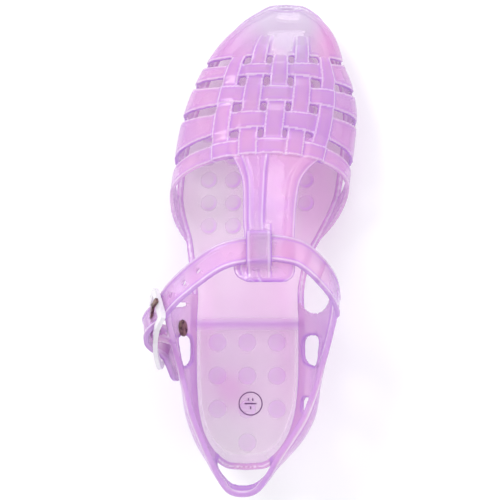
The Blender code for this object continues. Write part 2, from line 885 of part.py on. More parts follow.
def cage_station(place):
    """Row of the cage's table between two stations."""
    low = min(int(place), len(CAGE_ROWS) - 2)
    part = place - low
    first = CAGE_ROWS[low]
    second = CAGE_ROWS[low + 1]
    return first, second, part


def cage_spot(place, level, lift):
    first, second, part = cage_station(place)
    return cage_point(first, level).lerp(cage_point(second, level), part) + cage_normal(place, level) * lift


def cage_normal(place, level):
    step = 0.5
    low = max(place - step, 0.0)
    high = min(place + step, len(CAGE_ROWS) - 1.0)

    def bare(where, height):
        first, second, part = cage_station(where)
        return cage_point(first, height).lerp(cage_point(second, height), part)

    along = bare(high, level) - bare(low, level)
    up = bare(place, min(level + 0.05, 1.0)) - bare(place, max(level - 0.05, 0.0))
    return up.cross(along).normalized()


def make_cage():
    """Posts, windows and back strap round the heel, with a rolled top edge."""
    rows = len(CAGE_LEVELS) - 1
    columns = len(CAGE_ROWS) - 1
    lifts = (-0.5 * wall, 0.5 * wall, 0.5 * wall + strip_lift * 0.7)
    cells = full_cells(rows, columns)
    for c in range(columns):
        cells[rows - 1][c] = (2,) * 4
    for _, first, last, low, high in CAGE_HOLES:
        for r in range(low, high):
            for c in range(first, last):
                cells[r][c] = None

    def place(r, c, level):
        return above_bed(cage_spot(float(c), CAGE_LEVELS[r], lifts[level]))

    return lattice("upper cage", rows, columns, place, cells)


def strap_route():
    """Points, directions and run of the ankle strap's middle line on the last."""
    knots = [-row[0] for row in STRAP_ROWS]
    shares = [row[1] for row in STRAP_ROWS]
    start, end = knots[0], knots[-1]
    fine = 400
    spots = []
    for k in range(fine + 1):
        knot = start + (end - start) * k / fine
        share = curve_through(knots, shares, knot)
        spots.append((share, -knot, last_point(share, -knot)))
    runs = [0.0]
    for k in range(fine):
        runs.append(runs[-1] + (spots[k + 1][2] - spots[k][2]).length)
    return spots, runs


ROUTE, RUNS = strap_route()
route_length = RUNS[-1]


def route_frame(run):
    """Middle, direction, outward normal and width direction of the strap at a run."""
    run = min(max(run, 0.0), route_length)
    low = 0
    while low < len(RUNS) - 2 and RUNS[low + 1] < run:
        low += 1
    part = (run - RUNS[low]) / (RUNS[low + 1] - RUNS[low])
    first, second = ROUTE[low], ROUTE[low + 1]
    point = first[2].lerp(second[2], part)
    before = ROUTE[max(low - 9, 0)][2]
    after = ROUTE[min(low + 10, len(ROUTE) - 1)][2]
    ahead = (after - before).normalized()
    share = first[0] + (second[0] - first[0]) * part
    turn = first[1] + (second[1] - first[1]) * part
    outward = last_normal(share, turn)
    outward = (outward - ahead * outward.dot(ahead)).normalized()
    return point, ahead, outward, outward.cross(ahead).normalized()


def buckle_lift():
    """Lift of the buckle frame's middle surface over the last."""
    return strap_side_lift + strap_thickness + strap_rib + 2.0 * clearance + 0.5 * buckle_thickness


def sleeve_radius():
    return middle_bar_radius + clearance + sleeve_wall


def strap_lift(run):
    """Lift of the strap's inner face: on the T-bar, under, over and under the buckle's bars."""
    middle_run = RUNS[min(range(len(ROUTE)), key=lambda k: abs(ROUTE[k][1] - keeper_turn))]
    on_bar = 1.0 - smooth(0.6 * tbar_width, 1.5 * tbar_width, abs(run - middle_run))
    low = strap_side_lift + (strap_bed() - strap_side_lift) * on_bar
    high = buckle_lift() + sleeve_radius() + clearance * 2.0
    bar_edge = 0.5 * buckle_length - buckle_bar
    away = abs(run - buckle_place)
    return low + (high - low) * (1.0 - smooth(sleeve_radius() * 0.7, bar_edge, away))


def strap_section(run, lift):
    """Section of the strap: flat inside, edge ribs outside."""
    point, ahead, outward, sideways = route_frame(run)
    point = point + outward * lift
    step = 0.0005
    slope = (strap_lift(run + step) - strap_lift(run - step)) / (2.0 * step)
    outward = (outward - ahead * slope).normalized()
    taper = 1.0
    left = route_length - run
    if left < 0.5 * strap_width:
        taper = math.sqrt(max(0.12, 1.0 - (1.0 - left / (0.5 * strap_width)) ** 2))
    half = 0.5 * strap_width * taper
    rib = min(strap_rib_width, half * 0.4)
    profile = (
        (-half, 0.0),
        (half, 0.0),
        (half, strap_thickness + strap_rib),
        (half - rib, strap_thickness + strap_rib),
        (half - rib * 1.4, strap_thickness),
        (-half + rib * 1.4, strap_thickness),
        (-half + rib, strap_thickness + strap_rib),
        (-half, strap_thickness + strap_rib),
    )
    return [point + sideways * across + outward * height for across, height in profile]


def sweep_strap(name, first, last, steps, material=None):
    loops = []
    for k in range(steps + 1):
        run = first + (last - first) * k / steps
        loops.append(strap_section(run, strap_lift(run)))
    return loft(name, loops, material=material)


def make_strap_root():
    """Root of the ankle strap, moulded to the top of the medial cage."""
    return sweep_strap("upper strap root", 0.0, strap_root_end, 5)


def pin_hole(run, radius, length=0.03):
    """Round pin through the strap at a run."""
    point, _, outward, sideways = route_frame(run)
    ahead = sideways.cross(outward).normalized()
    loops = []
    for height in (-0.5 * length, 0.5 * length):
        middle = point + outward * (strap_lift(run) + height)
        loops.append([
            middle + (sideways * math.cos(a) + ahead * math.sin(a)) * radius
            for a in (2.0 * math.pi * k / 8 for k in range(8))
        ])
    return loft("pin", loops)


def make_strap(material):
    strap = sweep_strap("ankle_strap", strap_root_end + clearance, route_length, strap_steps, material)
    for hole in range(3):
        spot = buckle_place - 0.5 * buckle_length - strap_hole_pitch * (hole + 0.55)
        combine(strap, pin_hole(spot, strap_hole_radius), "DIFFERENCE")
    combine(strap, prong_pin(clearance * 1.4), "DIFFERENCE")
    round_shading(strap)
    return strap


def buckle_frame_axes():
    point, ahead, outward, sideways = route_frame(buckle_place)
    return point + outward * buckle_lift(), ahead, outward, sideways


def make_buckle_frame(material):
    """Frame bowed as the strap's route, with a front bar, a round middle bar and a rear bar."""
    half_long = 0.5 * buckle_length
    half_wide = 0.5 * buckle_width
    opening = half_long - buckle_bar
    longs = [-half_long] + [opening * k / 3.0 for k in range(-3, 4)] + [half_long]
    wides = (-half_wide, -half_wide + buckle_bar, half_wide - buckle_bar, half_wide)
    cells = full_cells(len(longs) - 1, len(wides) - 1)
    for r in range(1, len(longs) - 2):
        cells[r][1] = None

    def place(r, c, level):
        long = longs[r]
        wide = wides[c]
        if r in (0, len(longs) - 1) and c in (0, len(wides) - 1):
            long *= 1.0 - buckle_bar * 0.3 / half_long
            wide *= 1.0 - buckle_bar * 0.3 / half_wide
        point, _, away, across = route_frame(buckle_place + long)
        return point + across * wide + away * (buckle_lift() + (level - 0.5) * buckle_thickness)

    frame = lattice("buckle_frame", len(longs) - 1, len(wides) - 1, place, cells, material)
    reach = half_wide - buckle_bar * 0.5
    combine(frame, bar_round("bar", -reach, reach, middle_bar_radius), "UNION")
    round_shading(frame)
    return frame


def prong_ring_radius():
    return middle_bar_radius + clearance + prong_thickness * 0.6


def bar_round(name, first, last, radius, sides=10):
    """Round bar on the middle bar's axis between two places across the strap."""
    centre, ahead, outward, sideways = buckle_frame_axes()
    loops = []
    for wide in (first, last):
        middle = centre + sideways * wide
        loops.append([
            middle + (ahead * math.cos(a) + outward * math.sin(a)) * radius
            for a in (2.0 * math.pi * (k + 0.5) / sides for k in range(sides))
        ])
    return loft(name, loops)


def sleeve(name, first, last, inner, outer, sides=14):
    """Ring round the middle bar between two places across the strap."""
    centre, ahead, outward, sideways = buckle_frame_axes()
    rings = []
    for k in range(sides):
        angle = 2.0 * math.pi * k / sides
        spoke = ahead * math.cos(angle) + outward * math.sin(angle)
        rings.append([
            centre + sideways * first + spoke * inner,
            centre + sideways * last + spoke * inner,
            centre + sideways * last + spoke * outer,
            centre + sideways * first + spoke * outer,
        ])
    return loft(name, rings, closed_path=True)


def make_buckle_tab():
    """Tab from the lateral cage out to the buckle's middle bar, with an ear each side of the prong."""
    centre, ahead, outward, sideways = buckle_frame_axes()
    root = cage_spot(*tab_place, 0.0)
    span = centre - root
    side = sideways
    along = (span - side * span.dot(side)).normalized()
    thick = side.cross(along).normalized()
    half = 0.5 * tab_width
    end = span.dot(along) - sleeve_radius() * 0.75
    base = centre - along * span.dot(along)
    loops = []
    for reach, wide in ((-tab_sink, 1.15), (end * 0.5, 1.0), (end, 1.0)):
        middle = base + along * reach
        loops.append([
            middle + side * half * wide + thick * 0.5 * tab_thickness,
            middle - side * half * wide + thick * 0.5 * tab_thickness,
            middle - side * half * wide - thick * 0.5 * tab_thickness,
            middle + side * half * wide - thick * 0.5 * tab_thickness,
        ])
    tab = loft("upper tab", loops)
    slot = 0.5 * prong_width + 2.0 * clearance
    combine(tab, bar_round("slot", -slot, slot, prong_ring_radius() + 2.0 * clearance), "DIFFERENCE")
    for first, last in ((-half, -slot), (slot, half)):
        inner = middle_bar_radius + clearance
        combine(tab, sleeve("ear", first, last, inner, sleeve_radius()), "UNION")
    return tab


def prong_pin(grow=0.0):
    """Pin of the prong from the middle bar, through the strap, to the top of the front bar."""
    half = 0.5 * prong_width + grow
    inner = middle_bar_radius + clearance
    front = 0.5 * buckle_length
    over = 0.5 * buckle_thickness + clearance * 1.5 + 0.5 * prong_thickness
    stops = (
        (inner + prong_thickness * 0.2, 0.0),
        (front * 0.45, over * 0.55),
        (front - buckle_bar, over),
        (front + 0.0006 + grow, over * 0.98),
    )
    loops = []
    for along, height in stops:
        point, _, outward, sideways = route_frame(buckle_place - along)
        middle = point + outward * (buckle_lift() + height)
        deep = 0.5 * prong_thickness + grow
        loops.append([
            middle + sideways * half + outward * deep,
            middle - sideways * half + outward * deep,
            middle - sideways * half - outward * deep,
            middle + sideways * half - outward * deep,
        ])
    return loft("pin", loops)


def make_prong(material):
    """Prong: a ring round the middle bar and a pin over the front bar."""
    half = 0.5 * prong_width
    inner = middle_bar_radius + clearance
    ring = sleeve("buckle_prong", -half, half, inner, prong_ring_radius(), 12)
    ring.data.materials.append(material)
    combine(ring, prong_pin(), "UNION")
    round_shading(ring)
    return ring


def make_rivet(material):
    """Domed rivet head on the outer face of the lateral cage, below the tab."""
    centre = cage_spot(*rivet_place, 0.5 * wall + clearance)
    outward = cage_normal(*rivet_place)
    sideways = outward.cross(Vector((0.0, 0.0, 1.0))).normalized()
    upward = sideways.cross(outward).normalized()
    loops = []
    for height, size in ((0.0, 1.0), (0.5, 1.0), (0.85, 0.8), (1.0, 0.45)):
        middle = centre + outward * (0.0004 + rivet_thickness * height)
        loops.append([
            middle + (sideways * math.cos(a) + upward * math.sin(a)) * rivet_radius * size
            for a in (2.0 * math.pi * k / 16 for k in range(16))
        ])
    rivet = loft("buckle_rivet", loops, material=material)
    round_shading(rivet)
    return rivet


def make_upper(material):
    upper = make_vamp()
    upper.name = "upper"
    upper.data.materials.append(material)
    for maker in (make_rim, make_tbar, make_keeper, make_cage, make_strap_root, make_buckle_tab):
        combine(upper, maker(), "UNION")
    round_shading(upper)
    return upper


def stand_on_origin(items):
    """Move the parts so that the middle of the whole box's bottom is the origin."""
    spots = [item.matrix_world @ vertex.co for item in items for vertex in item.data.vertices]
    low = Vector([min(spot[axis] for spot in spots) for axis in range(3)])
    high = Vector([max(spot[axis] for spot in spots) for axis in range(3)])
    shift = Vector((-(low.x + high.x) * 0.5, -(low.y + high.y) * 0.5, -low.z))
    for item in items:
        for vertex in item.data.vertices:
            vertex.co += shift


def main():
    remove_scene_objects()
    jelly = make_material("jelly", (0.72, 0.45, 0.90), 0.12, transmission=0.6)
    clear = make_material("clear plastic", (0.93, 0.92, 0.97), 0.10, transmission=0.7)
    bronze = make_material("bronze metal", (0.30, 0.22, 0.17), 0.32, metallic=1.0)
    parts = [
        make_sole(jelly),
        make_upper(jelly),
        make_strap(jelly),
        make_buckle_frame(clear),
        make_prong(bronze),
        make_rivet(bronze),
    ]
    stand_on_origin(parts)


main()
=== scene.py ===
"""Looks of a woven jelly sandal for a left foot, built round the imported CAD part.

The toe points to +Y, the big-toe side is +X and +Z is up. Lengths are in metres. The forms
follow the same named sizes and short tables as the part's source, read at finer steps and
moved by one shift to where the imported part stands.
"""
import math

import bmesh
import bpy
import numpy as np
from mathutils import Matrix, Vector, kdtree


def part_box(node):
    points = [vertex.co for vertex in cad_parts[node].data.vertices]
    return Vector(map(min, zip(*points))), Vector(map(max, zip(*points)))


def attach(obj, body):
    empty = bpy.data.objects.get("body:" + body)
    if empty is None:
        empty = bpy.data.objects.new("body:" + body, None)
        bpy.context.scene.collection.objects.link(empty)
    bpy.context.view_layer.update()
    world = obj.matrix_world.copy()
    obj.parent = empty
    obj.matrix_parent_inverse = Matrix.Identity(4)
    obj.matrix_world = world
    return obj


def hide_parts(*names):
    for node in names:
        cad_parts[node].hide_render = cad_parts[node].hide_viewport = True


bl_info = {
    "name": "Woven jelly sandal",
    "version": (1, 0, 0),
    "blender": (4, 5, 0),
    "location": "View3D > Sidebar > Sandal",
    "description": "Builds the soft moulded looks of a woven jelly sandal",
    "category": "Object",
}

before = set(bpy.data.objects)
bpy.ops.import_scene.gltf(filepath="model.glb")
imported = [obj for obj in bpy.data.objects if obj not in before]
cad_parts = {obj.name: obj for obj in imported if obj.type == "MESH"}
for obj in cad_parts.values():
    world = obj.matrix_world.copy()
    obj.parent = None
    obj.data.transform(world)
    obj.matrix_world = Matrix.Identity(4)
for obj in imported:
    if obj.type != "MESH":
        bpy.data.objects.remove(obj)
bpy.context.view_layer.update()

# Main sizes of the sandal
sole_length = 0.248
ball_width = 0.097
heel_width = 0.061
seat_height = 0.027
sole_thickness = 0.0095
toe_spring = 0.007
spring_start = 0.78
waist_start = 0.28
waist_end = 0.60
instep_height = 0.082
counter_height = 0.063

# Walls, relief and fits
wall = 0.0022
strip_lift = 0.0011
clearance = 0.0003

# Welt rim round the top of the sole
rim_width = 0.0036
rim_height = 0.0024
rim_bite = 0.0016

# Sole details
heel_share = 0.31
breast_share = 0.008
flange_height = 0.003
flange_step = 0.001
sole_draft = 0.0014
heel_draft = 0.0036
sole_chamfer = 0.0008
tread_rim = 0.0028
tread_depth = 0.0012
nub_radius = 0.0041
forefoot_nub_pitch = 0.0132
forefoot_nub_row = 0.0125
heel_nub_pitch = 0.0158
heel_nub_row = 0.0177
nub_margin = 0.0108
forefoot_nub_start = 0.523
forefoot_nub_across = 0.0038
forefoot_nub_rows = 9
heel_nub_start = 0.262
heel_nub_across = -0.0015
heel_nub_rows = 4
heel_nub_size = 1.12

# T-bar, its ridges and the keeper loop over the ankle strap
tbar_width = 0.0262
tbar_centre = 0.0096
keeper_width = 0.0115
keeper_thickness = 0.0018
keeper_ramp = 0.0042
keeper_slack = 0.0012
keeper_turn = 0.47
keeper_slope = 0.86
keeper_front = 0.0035
keeper_rear = 0.0020
keeper_crown = 0.35
keeper_steps = 5
keeper_column_count = 17

# Ankle strap
strap_width = 0.0140
strap_thickness = 0.0024
strap_rib = 0.0005
strap_rib_width = 0.0016
strap_hole_radius = 0.0014
strap_hole_pitch = 0.0095
strap_side_lift = 0.0006

# Buckle and its tab
buckle_length = 0.0370
buckle_bar = 0.0036
buckle_thickness = 0.0023
middle_bar_radius = 0.0011
sleeve_wall = 0.0010
prong_thickness = 0.0015
prong_width = 0.0022
tab_width = 0.0130
tab_thickness = 0.0022
tab_sink = 0.0012
tab_place = (1.5, 0.66)

# Outline of the sole. Rows run from heel to toe: share of the length, then the lateral and
# medial edges as shares of the local width.
SOLE_ROWS = (
    (0.000, -0.148, 0.082),
    (0.012, -0.270, 0.205),
    (0.035, -0.369, 0.303),
    (0.080, -0.462, 0.402),
    (0.140, -0.508, 0.459),
    (0.220, -0.521, 0.479),
    (0.320, -0.518, 0.479),
    (0.403, -0.491, 0.457),
    (0.452, -0.449, 0.446),
    (0.500, -0.419, 0.466),
    (0.567, -0.415, 0.499),
    (0.629, -0.402, 0.524),
    (0.690, -0.376, 0.544),
    (0.754, -0.337, 0.557),
    (0.819, -0.280, 0.539),
    (0.871, -0.221, 0.495),
    (0.919, -0.150, 0.466),
    (0.945, -0.096, 0.442),
    (0.972, -0.016, 0.398),
    (0.986, 0.046, 0.354),
    (1.000, 0.140, 0.262),
)

# Sections of the last: share of the length, how far the upper bulges past the sole on the
# lateral and medial side and where its ridge lies (shares of ball_width), and the height of
# the ridge (share of instep_height).
LAST_ROWS = (
    (0.180, 0.092, 0.062, 0.060, 1.160),
    (0.280, 0.145, 0.110, 0.080, 1.140),
    (0.360, 0.168, 0.176, 0.093, 1.080),
    (0.420, 0.150, 0.160, 0.097, 1.010),
    (0.470, 0.118, 0.124, 0.097, 0.935),
    (0.520, 0.082, 0.088, 0.097, 0.860),
    (0.567, 0.046, 0.052, 0.095, 0.790),
    (0.629, 0.036, 0.041, 0.092, 0.695),
    (0.690, 0.042, 0.044, 0.095, 0.615),
    (0.754, 0.046, 0.046, 0.108, 0.545),
    (0.819, 0.046, 0.044, 0.124, 0.480),
    (0.871, 0.042, 0.042, 0.136, 0.432),
    (0.919, 0.036, 0.038, 0.152, 0.378),
    (0.945, 0.030, 0.034, 0.165, 0.338),
    (0.972, 0.022, 0.026, 0.180, 0.285),
    (0.986, 0.012, 0.015, 0.190, 0.262),
    (1.000, 0.005, 0.006, 0.200, 0.230),
)

# Lines across the vamp from toe to instep: share of the length at the lateral foot, lateral
# side, middle, medial side and medial foot of the line.
VAMP_LINES = (
    ("toe tip", 0.9985, 0.9985, 0.9985, 0.9985, 0.9985),
    ("toe turn", 0.9840, 0.9840, 0.9840, 0.9840, 0.9840),
    ("toe front", 0.9720, 0.9720, 0.9720, 0.9720, 0.9720),
    ("toe top", 0.9560, 0.9560, 0.9560, 0.9560, 0.9560),
    ("cap middle", 0.9290, 0.9290, 0.9320, 0.9300, 0.9300),
    ("cap strips", 0.9010, 0.9020, 0.9080, 0.9050, 0.9050),
    ("cap rear", 0.8720, 0.8760, 0.8860, 0.8820, 0.8820),
    ("band 1 front", 0.8590, 0.8630, 0.8660, 0.8720, 0.8710),
    ("band 1 rear", 0.8200, 0.8260, 0.8370, 0.8120, 0.8060),
    ("band 2 front", 0.8080, 0.8140, 0.8130, 0.7990, 0.7940),
    ("band 2 rear", 0.7420, 0.7560, 0.7760, 0.7460, 0.7320),
    ("band 3 front", 0.7260, 0.7400, 0.7560, 0.7310, 0.7160),
    ("band 3 rear", 0.6380, 0.6680, 0.7190, 0.6620, 0.6380),
    ("band 4 front", 0.5740, 0.6400, 0.6970, 0.6370, 0.5740),
    ("band 4 rear", 0.4800, 0.5960, 0.6620, 0.5990, 0.4870),
)
LINE_SPOTS = (0.0, 0.13, 0.50, 0.87, 1.0)

# Columns of the vamp beside the weave.
lateral_columns = 5
medial_columns = 4

# Lengthwise strips of the weave: turn across the last at the toe and at the instep, and
# whether the strip lies over the even bands.
STRIP_ROWS = (
    ("strip 1", 0.352, 0.365, False),
    ("strip 2", 0.438, 0.445, True),
    ("strip 3", 0.520, 0.512, False),
    ("strip 4", 0.603, 0.574, True),
    ("strip 5", 0.712, 0.645, False),
)
STRIP_HALF_TURN = (0.0300, 0.0270)

# T-bar from band 4 to its tab: share of the length, and its edges as shares of tbar_width
# from the bar's centre.
TBAR_ROWS = (
    (0.700, -0.78, 1.10),
    (0.668, -0.74, 1.06),
    (0.650, -0.66, 0.92),
    (0.632, -0.58, 0.74),
    (0.605, -0.51, 0.59),
    (0.570, -0.49, 0.52),
    (0.530, -0.49, 0.48),
    (0.490, -0.47, 0.46),
    (0.455, -0.52, 0.46),
    (0.430, -0.66, 0.46),
    (0.415, -0.60, 0.42),
    (0.404, -0.40, 0.28),
)

# How far up the cage's wall its bulge lies, and how far forward the wall's middle looks from.
cage_bend = 0.45
cage_reach = 1.5
cage_heart_end = 0.30
cage_heart_pull = 0.8
cage_heart_shift = 0.020

# Heel cage stations from the lateral front round the heel to the medial front: side of the
# sole, share of the length at the foot, then the top edge across (share of heel_width), along
# (share of sole_length) and up (share of counter_height), and the bulge (share of heel_width).
CAGE_ROWS = (
    ("lateral", 0.3480, -0.697, 0.350, 0.900, 0.072),
    ("lateral", 0.3190, -0.672, 0.322, 0.900, 0.084),
    ("lateral", 0.2900, -0.642, 0.293, 0.900, 0.084),
    ("lateral", 0.2600, -0.608, 0.259, 0.900, 0.080),
    ("lateral", 0.2290, -0.574, 0.229, 0.905, 0.080),
    ("lateral", 0.1850, -0.526, 0.184, 0.920, 0.090),
    ("lateral", 0.1330, -0.470, 0.132, 0.940, 0.100),
    ("lateral", 0.0800, -0.385, 0.080, 0.960, 0.090),
    ("lateral", 0.0420, -0.312, 0.038, 0.975, 0.066),
    ("lateral", 0.0180, -0.245, 0.006, 0.985, 0.042),
    ("lateral", 0.0000, -0.170, -0.020, 0.995, 0.022),
    ("middle", 0.0000, -0.070, -0.027, 1.000, 0.012),
    ("medial", 0.0000, 0.035, -0.021, 0.995, 0.022),
    ("medial", 0.0120, 0.122, 0.004, 0.990, 0.050),
    ("medial", 0.0400, 0.225, 0.048, 0.980, 0.090),
    ("medial", 0.0820, 0.335, 0.090, 0.970, 0.140),
    ("medial", 0.1270, 0.430, 0.128, 0.960, 0.165),
    ("medial", 0.1630, 0.495, 0.165, 0.955, 0.155),
    ("medial", 0.1980, 0.546, 0.198, 0.955, 0.120),
    ("medial", 0.2300, 0.586, 0.232, 0.960, 0.090),
    ("medial", 0.2590, 0.628, 0.266, 0.970, 0.070),
    ("medial", 0.2870, 0.664, 0.300, 0.985, 0.056),
    ("medial", 0.3220, 0.702, 0.342, 1.005, 0.040),
    ("medial", 0.3540, 0.708, 0.388, 1.020, 0.030),
)
CAGE_LEVELS = (0.0, 0.10, 0.26, 0.42, 0.58, 0.74, 0.87, 1.0)

# Openings of the heel cage: first and last station, first and last level.
CAGE_HOLES = (
    ("lateral window", 2, 4, 1, 4),
    ("heel window", 9, 13, 0, 5),
    ("medial rear window", 16, 17, 1, 3),
    ("medial window", 19, 21, 1, 4),
)

# Route of the ankle strap from the medial cage over the instep to its tail: turn across the
# last and share of the length.
STRAP_ROWS = (
    (0.790, 0.350),
    (0.750, 0.375),
    (0.704, 0.400),
    (0.640, 0.431),
    (0.570, 0.457),
    (0.500, 0.464),
    (0.430, 0.455),
    (0.350, 0.420),
    (0.280, 0.380),
    (0.220, 0.344),
    (0.165, 0.306),
    (0.120, 0.266),
    (0.085, 0.233),
    (0.060, 0.198),
)
strap_root_end = 0.026
buckle_place = 0.1315

# Places along the shoe where the strips' toe and instep turns are reached
strip_front = 0.930
strip_rear = 0.662

# What the scene adds to the part's own sizes. The weave stands a little prouder than the
# solid's, the bar carries a ribbon and ridges (first and last place across, height), and the
# cage's outer front reaches ahead of its first station.
weave_relief = 1.25
strip_step = 0.008
TBAR_RIDGES = (
    (0.10, 0.40, 0.0007),
    (0.10, 0.16, 0.0004),
    (0.34, 0.40, 0.0004),
    (0.80, 0.93, 0.0009),
)
ridge_edge = 0.02
bar_inset = 0.0004
cage_ahead = 0.9
window_rounding = 3.4

# Rolled top edge of the cage: the levels over which it rises, and over which part of it falls.
ROLL_START = (0.86, 0.90)
ROLL_END = (0.975, 1.0)
roll_fall = 0.6

# Hollows in the cage's two front edges: place, level and half sizes of each.
CAGE_HOLLOWS = (
    (len(CAGE_ROWS) - 1.0, 0.46, 0.85, 0.40),
    (-0.10, 0.45, 0.16, 0.30),
)

# The rim is made in two stretches that meet at this share of the length.
rim_split = 0.43

# The strap laps its root, so that no seam shows between them. Its pin holes lie before the frame.
strap_overlap = 0.0010
strap_hole_count = 3

# How far ahead of its real place a heel nub shows through the thick heel
heel_nub_seen_ahead = 0.0022

# Printed mark on the heel seat
STAMP_TICKS = ((-0.19, 0.36), (0.19, 0.36), (0.0, -0.36))
stamp_across = 0.0003
stamp_along = 0.0347
stamp_radius = 0.0061
stamp_line = 0.00055
stamp_height = 0.00025

# Lines painted on the jelly: place from the edge they follow, half width and strength. A pale line is a
# painted highlight in a rounded edge. A deep line is painted shade where one looks along a wall of jelly
# and beside a raised strip; the heel breast's deep line is the breast seen through the sole.
STRIP_PALE = (0.0006, 0.0004, 0.62)
STRIP_DEEP = (0.0019, 0.0005, 0.45)
STRIP_HOLLOW_SHADE = (0.0, 0.0009, 0.80)
BAR_PALE = (0.0009, 0.0004, 0.55)
BAR_DEEP = (0.0, 0.0006, 0.80)
BAR_INNER = (0.0022, 0.0005, 0.40)
BAR_END = (0.0004, 0.0010, 1.0)
KEEPER_PALE = (0.0012, 0.0005, 0.45)
KEEPER_DEEP = (0.0, 0.0006, 1.0)
ROLL_PALE = (0.0012, 0.0007, 0.75)
ROLL_INNER = (0.0040, 0.0009, 1.0)
ROLL_OUTER = (-0.0005, 0.0006, 1.0)
WINDOW_DEEP = (0.0004, 0.0009, 0.80)
RIM_PALE = (-0.5 * rim_width, 0.0005, 1.0)
RIB_PALE = (0.5 * strap_rib_width, 0.35 * strap_rib_width, 0.60)
RIB_OUTER = (0.0, 0.0005, 0.70)
RIB_INNER = (1.25 * strap_rib_width, 0.0005, 0.70)
BREAST_DEEP = (heel_share * sole_length, 0.0026, 0.85)

# Painted shade in the folds of the keeper loop, in its own rows: both ends of its roof
KEEPER_FOLD_SHADE = ((2.0, 0.25, 0.60), (5.0, 0.25, 0.60))

# Edges that the bar's painted lines follow: place across and the way inward
BAR_EDGES = ((0.0, 1.0), (0.10, 1.0), (0.40, -1.0), (1.0, -1.0))
window_size = 0.008
raised_deep = 0.18
tab_deep = 0.15

# Rim: strength of its pale line, a painted highlight, and of its deep tone at the toe, and what the heel
# adds
rim_shine = (0.75, -0.35)
rim_deep = (0.25, 0.45)

# Nubs seen through the sole: strength of their disc and of their edge
HEEL_NUB_DEEP = (0.46, 0.20)
BALL_NUB_DEEP = (0.28, 0.95)
milky_cover = 0.35

# Steps of the made forms
strap_loop_count = 220
root_loop_count = 24
sole_row_count = 150
cage_steps = 16
cage_level_count = 110
bar_row_count = 110
bar_column_count = 76
melt_smoothing = 2

# Stage
floor_half = 3.0
floor_gap = 0.0002
FLOOR_CORNERS = ((-1, -1), (1, -1), (1, 1), (-1, 1))

# Soft lights: name, place, width of the lamp and power.
LIGHTS = (
    ("key light", (-0.55, 0.55, 0.80), 0.35, 4.0),
    ("fill light", (0.75, -0.20, 0.80), 0.80, 1.6),
    ("back light", (0.10, 0.95, 0.50), 0.40, 2.0),
)
room_colour = (0.98, 0.98, 1.0, 1.0)
room_strength = 0.92


def smooth(low, high, value):
    """Ease from 0 at low to 1 at high."""
    share = min(max((value - low) / (high - low), 0.0), 1.0)
    return share * share * (3.0 - 2.0 * share)


def curve_through(knots, values, where):
    """Read a smooth curve that passes through the knots without overshooting them."""
    count = len(knots)
    if where <= knots[0]:
        return values[0]
    if where >= knots[-1]:
        return values[-1]
    index = 0
    while where > knots[index + 1]:
        index += 1
    steps = [knots[i + 1] - knots[i] for i in range(count - 1)]
    rises = [(values[i + 1] - values[i]) / steps[i] for i in range(count - 1)]

    def slope(i):
        if i == 0:
            return rises[0]
        if i == count - 1:
            return rises[-1]
        if rises[i - 1] * rises[i] <= 0.0:
            return 0.0
        first = 2.0 * steps[i] + steps[i - 1]
        second = steps[i] + 2.0 * steps[i - 1]
        return (first + second) / (first / rises[i - 1] + second / rises[i])

    step = steps[index]
    share = (where - knots[index]) / step
    squared = share * share
    cubed = squared * share
    return (
        (2.0 * cubed - 3.0 * squared + 1.0) * values[index]
        + (cubed - 2.0 * squared + share) * step * slope(index)
        + (3.0 * squared - 2.0 * cubed) * values[index + 1]
        + (cubed - squared) * step * slope(index + 1)
    )


def round_share(share):
    """Angle whose cosine gives the share, so that curves read by it close round ends."""
    return math.acos(1.0 - 2.0 * min(max(share, 0.0), 1.0))


SOLE_KNOTS = [round_share(row[0]) for row in SOLE_ROWS]
LAST_KNOTS = [-math.sqrt(1.0 - row[0]) for row in LAST_ROWS]


def local_width(share):
    """Width that the outline's shares refer to, from the heel to the ball."""
    return heel_width + (ball_width - heel_width) * smooth(0.35, 0.60, share)


def sole_edge(side, share):
    """Distance across of the sole's edge: side -1 is lateral, 1 is medial."""
    column = 1 if side < 0 else 2
    values = [row[column] for row in SOLE_ROWS]
    return curve_through(SOLE_KNOTS, values, round_share(share)) * local_width(share)


def footbed(share):
    """Height of the sole's top."""
    fall = smooth(waist_start, waist_end, share) * (seat_height - sole_thickness)
    spring = toe_spring * max(0.0, (share - spring_start) / (1.0 - spring_start)) ** 2
    return seat_height - fall + spring


def underside(share):
    """Height of the sole's tread line: flat heel, arched waist, flat ball, sprung toe."""
    if share <= heel_share:
        return 0.0
    raised = max(0.0, footbed(share) - sole_thickness)
    return raised * smooth(heel_share, heel_share + breast_share, share)


def outline_loop(shares, offset):
    """Closed outline of the sole, moved outward by offset(share): lateral side up, medial back."""
    points = [Vector((sole_edge(-1, s), s * sole_length, 0.0)) for s in shares]
    tip = Vector((0.5 * (sole_edge(-1, 1.0) + sole_edge(1, 1.0)), sole_length * 1.002, 0.0))
    points.append(tip)
    points += [Vector((sole_edge(1, s), s * sole_length, 0.0)) for s in reversed(shares)]
    points.append(Vector((0.5 * (sole_edge(-1, 0.0) + sole_edge(1, 0.0)), -0.002 * sole_length, 0.0)))
    at = list(shares) + [1.0] + list(reversed(shares)) + [0.0]
    count = len(points)
    moved = []
    for index, point in enumerate(points):
        ahead = points[(index + 1) % count] - points[index - 1]
        outward = Vector((-ahead.y, ahead.x, 0.0)).normalized()
        moved.append(point + outward * offset(at[index]))
    return moved, at


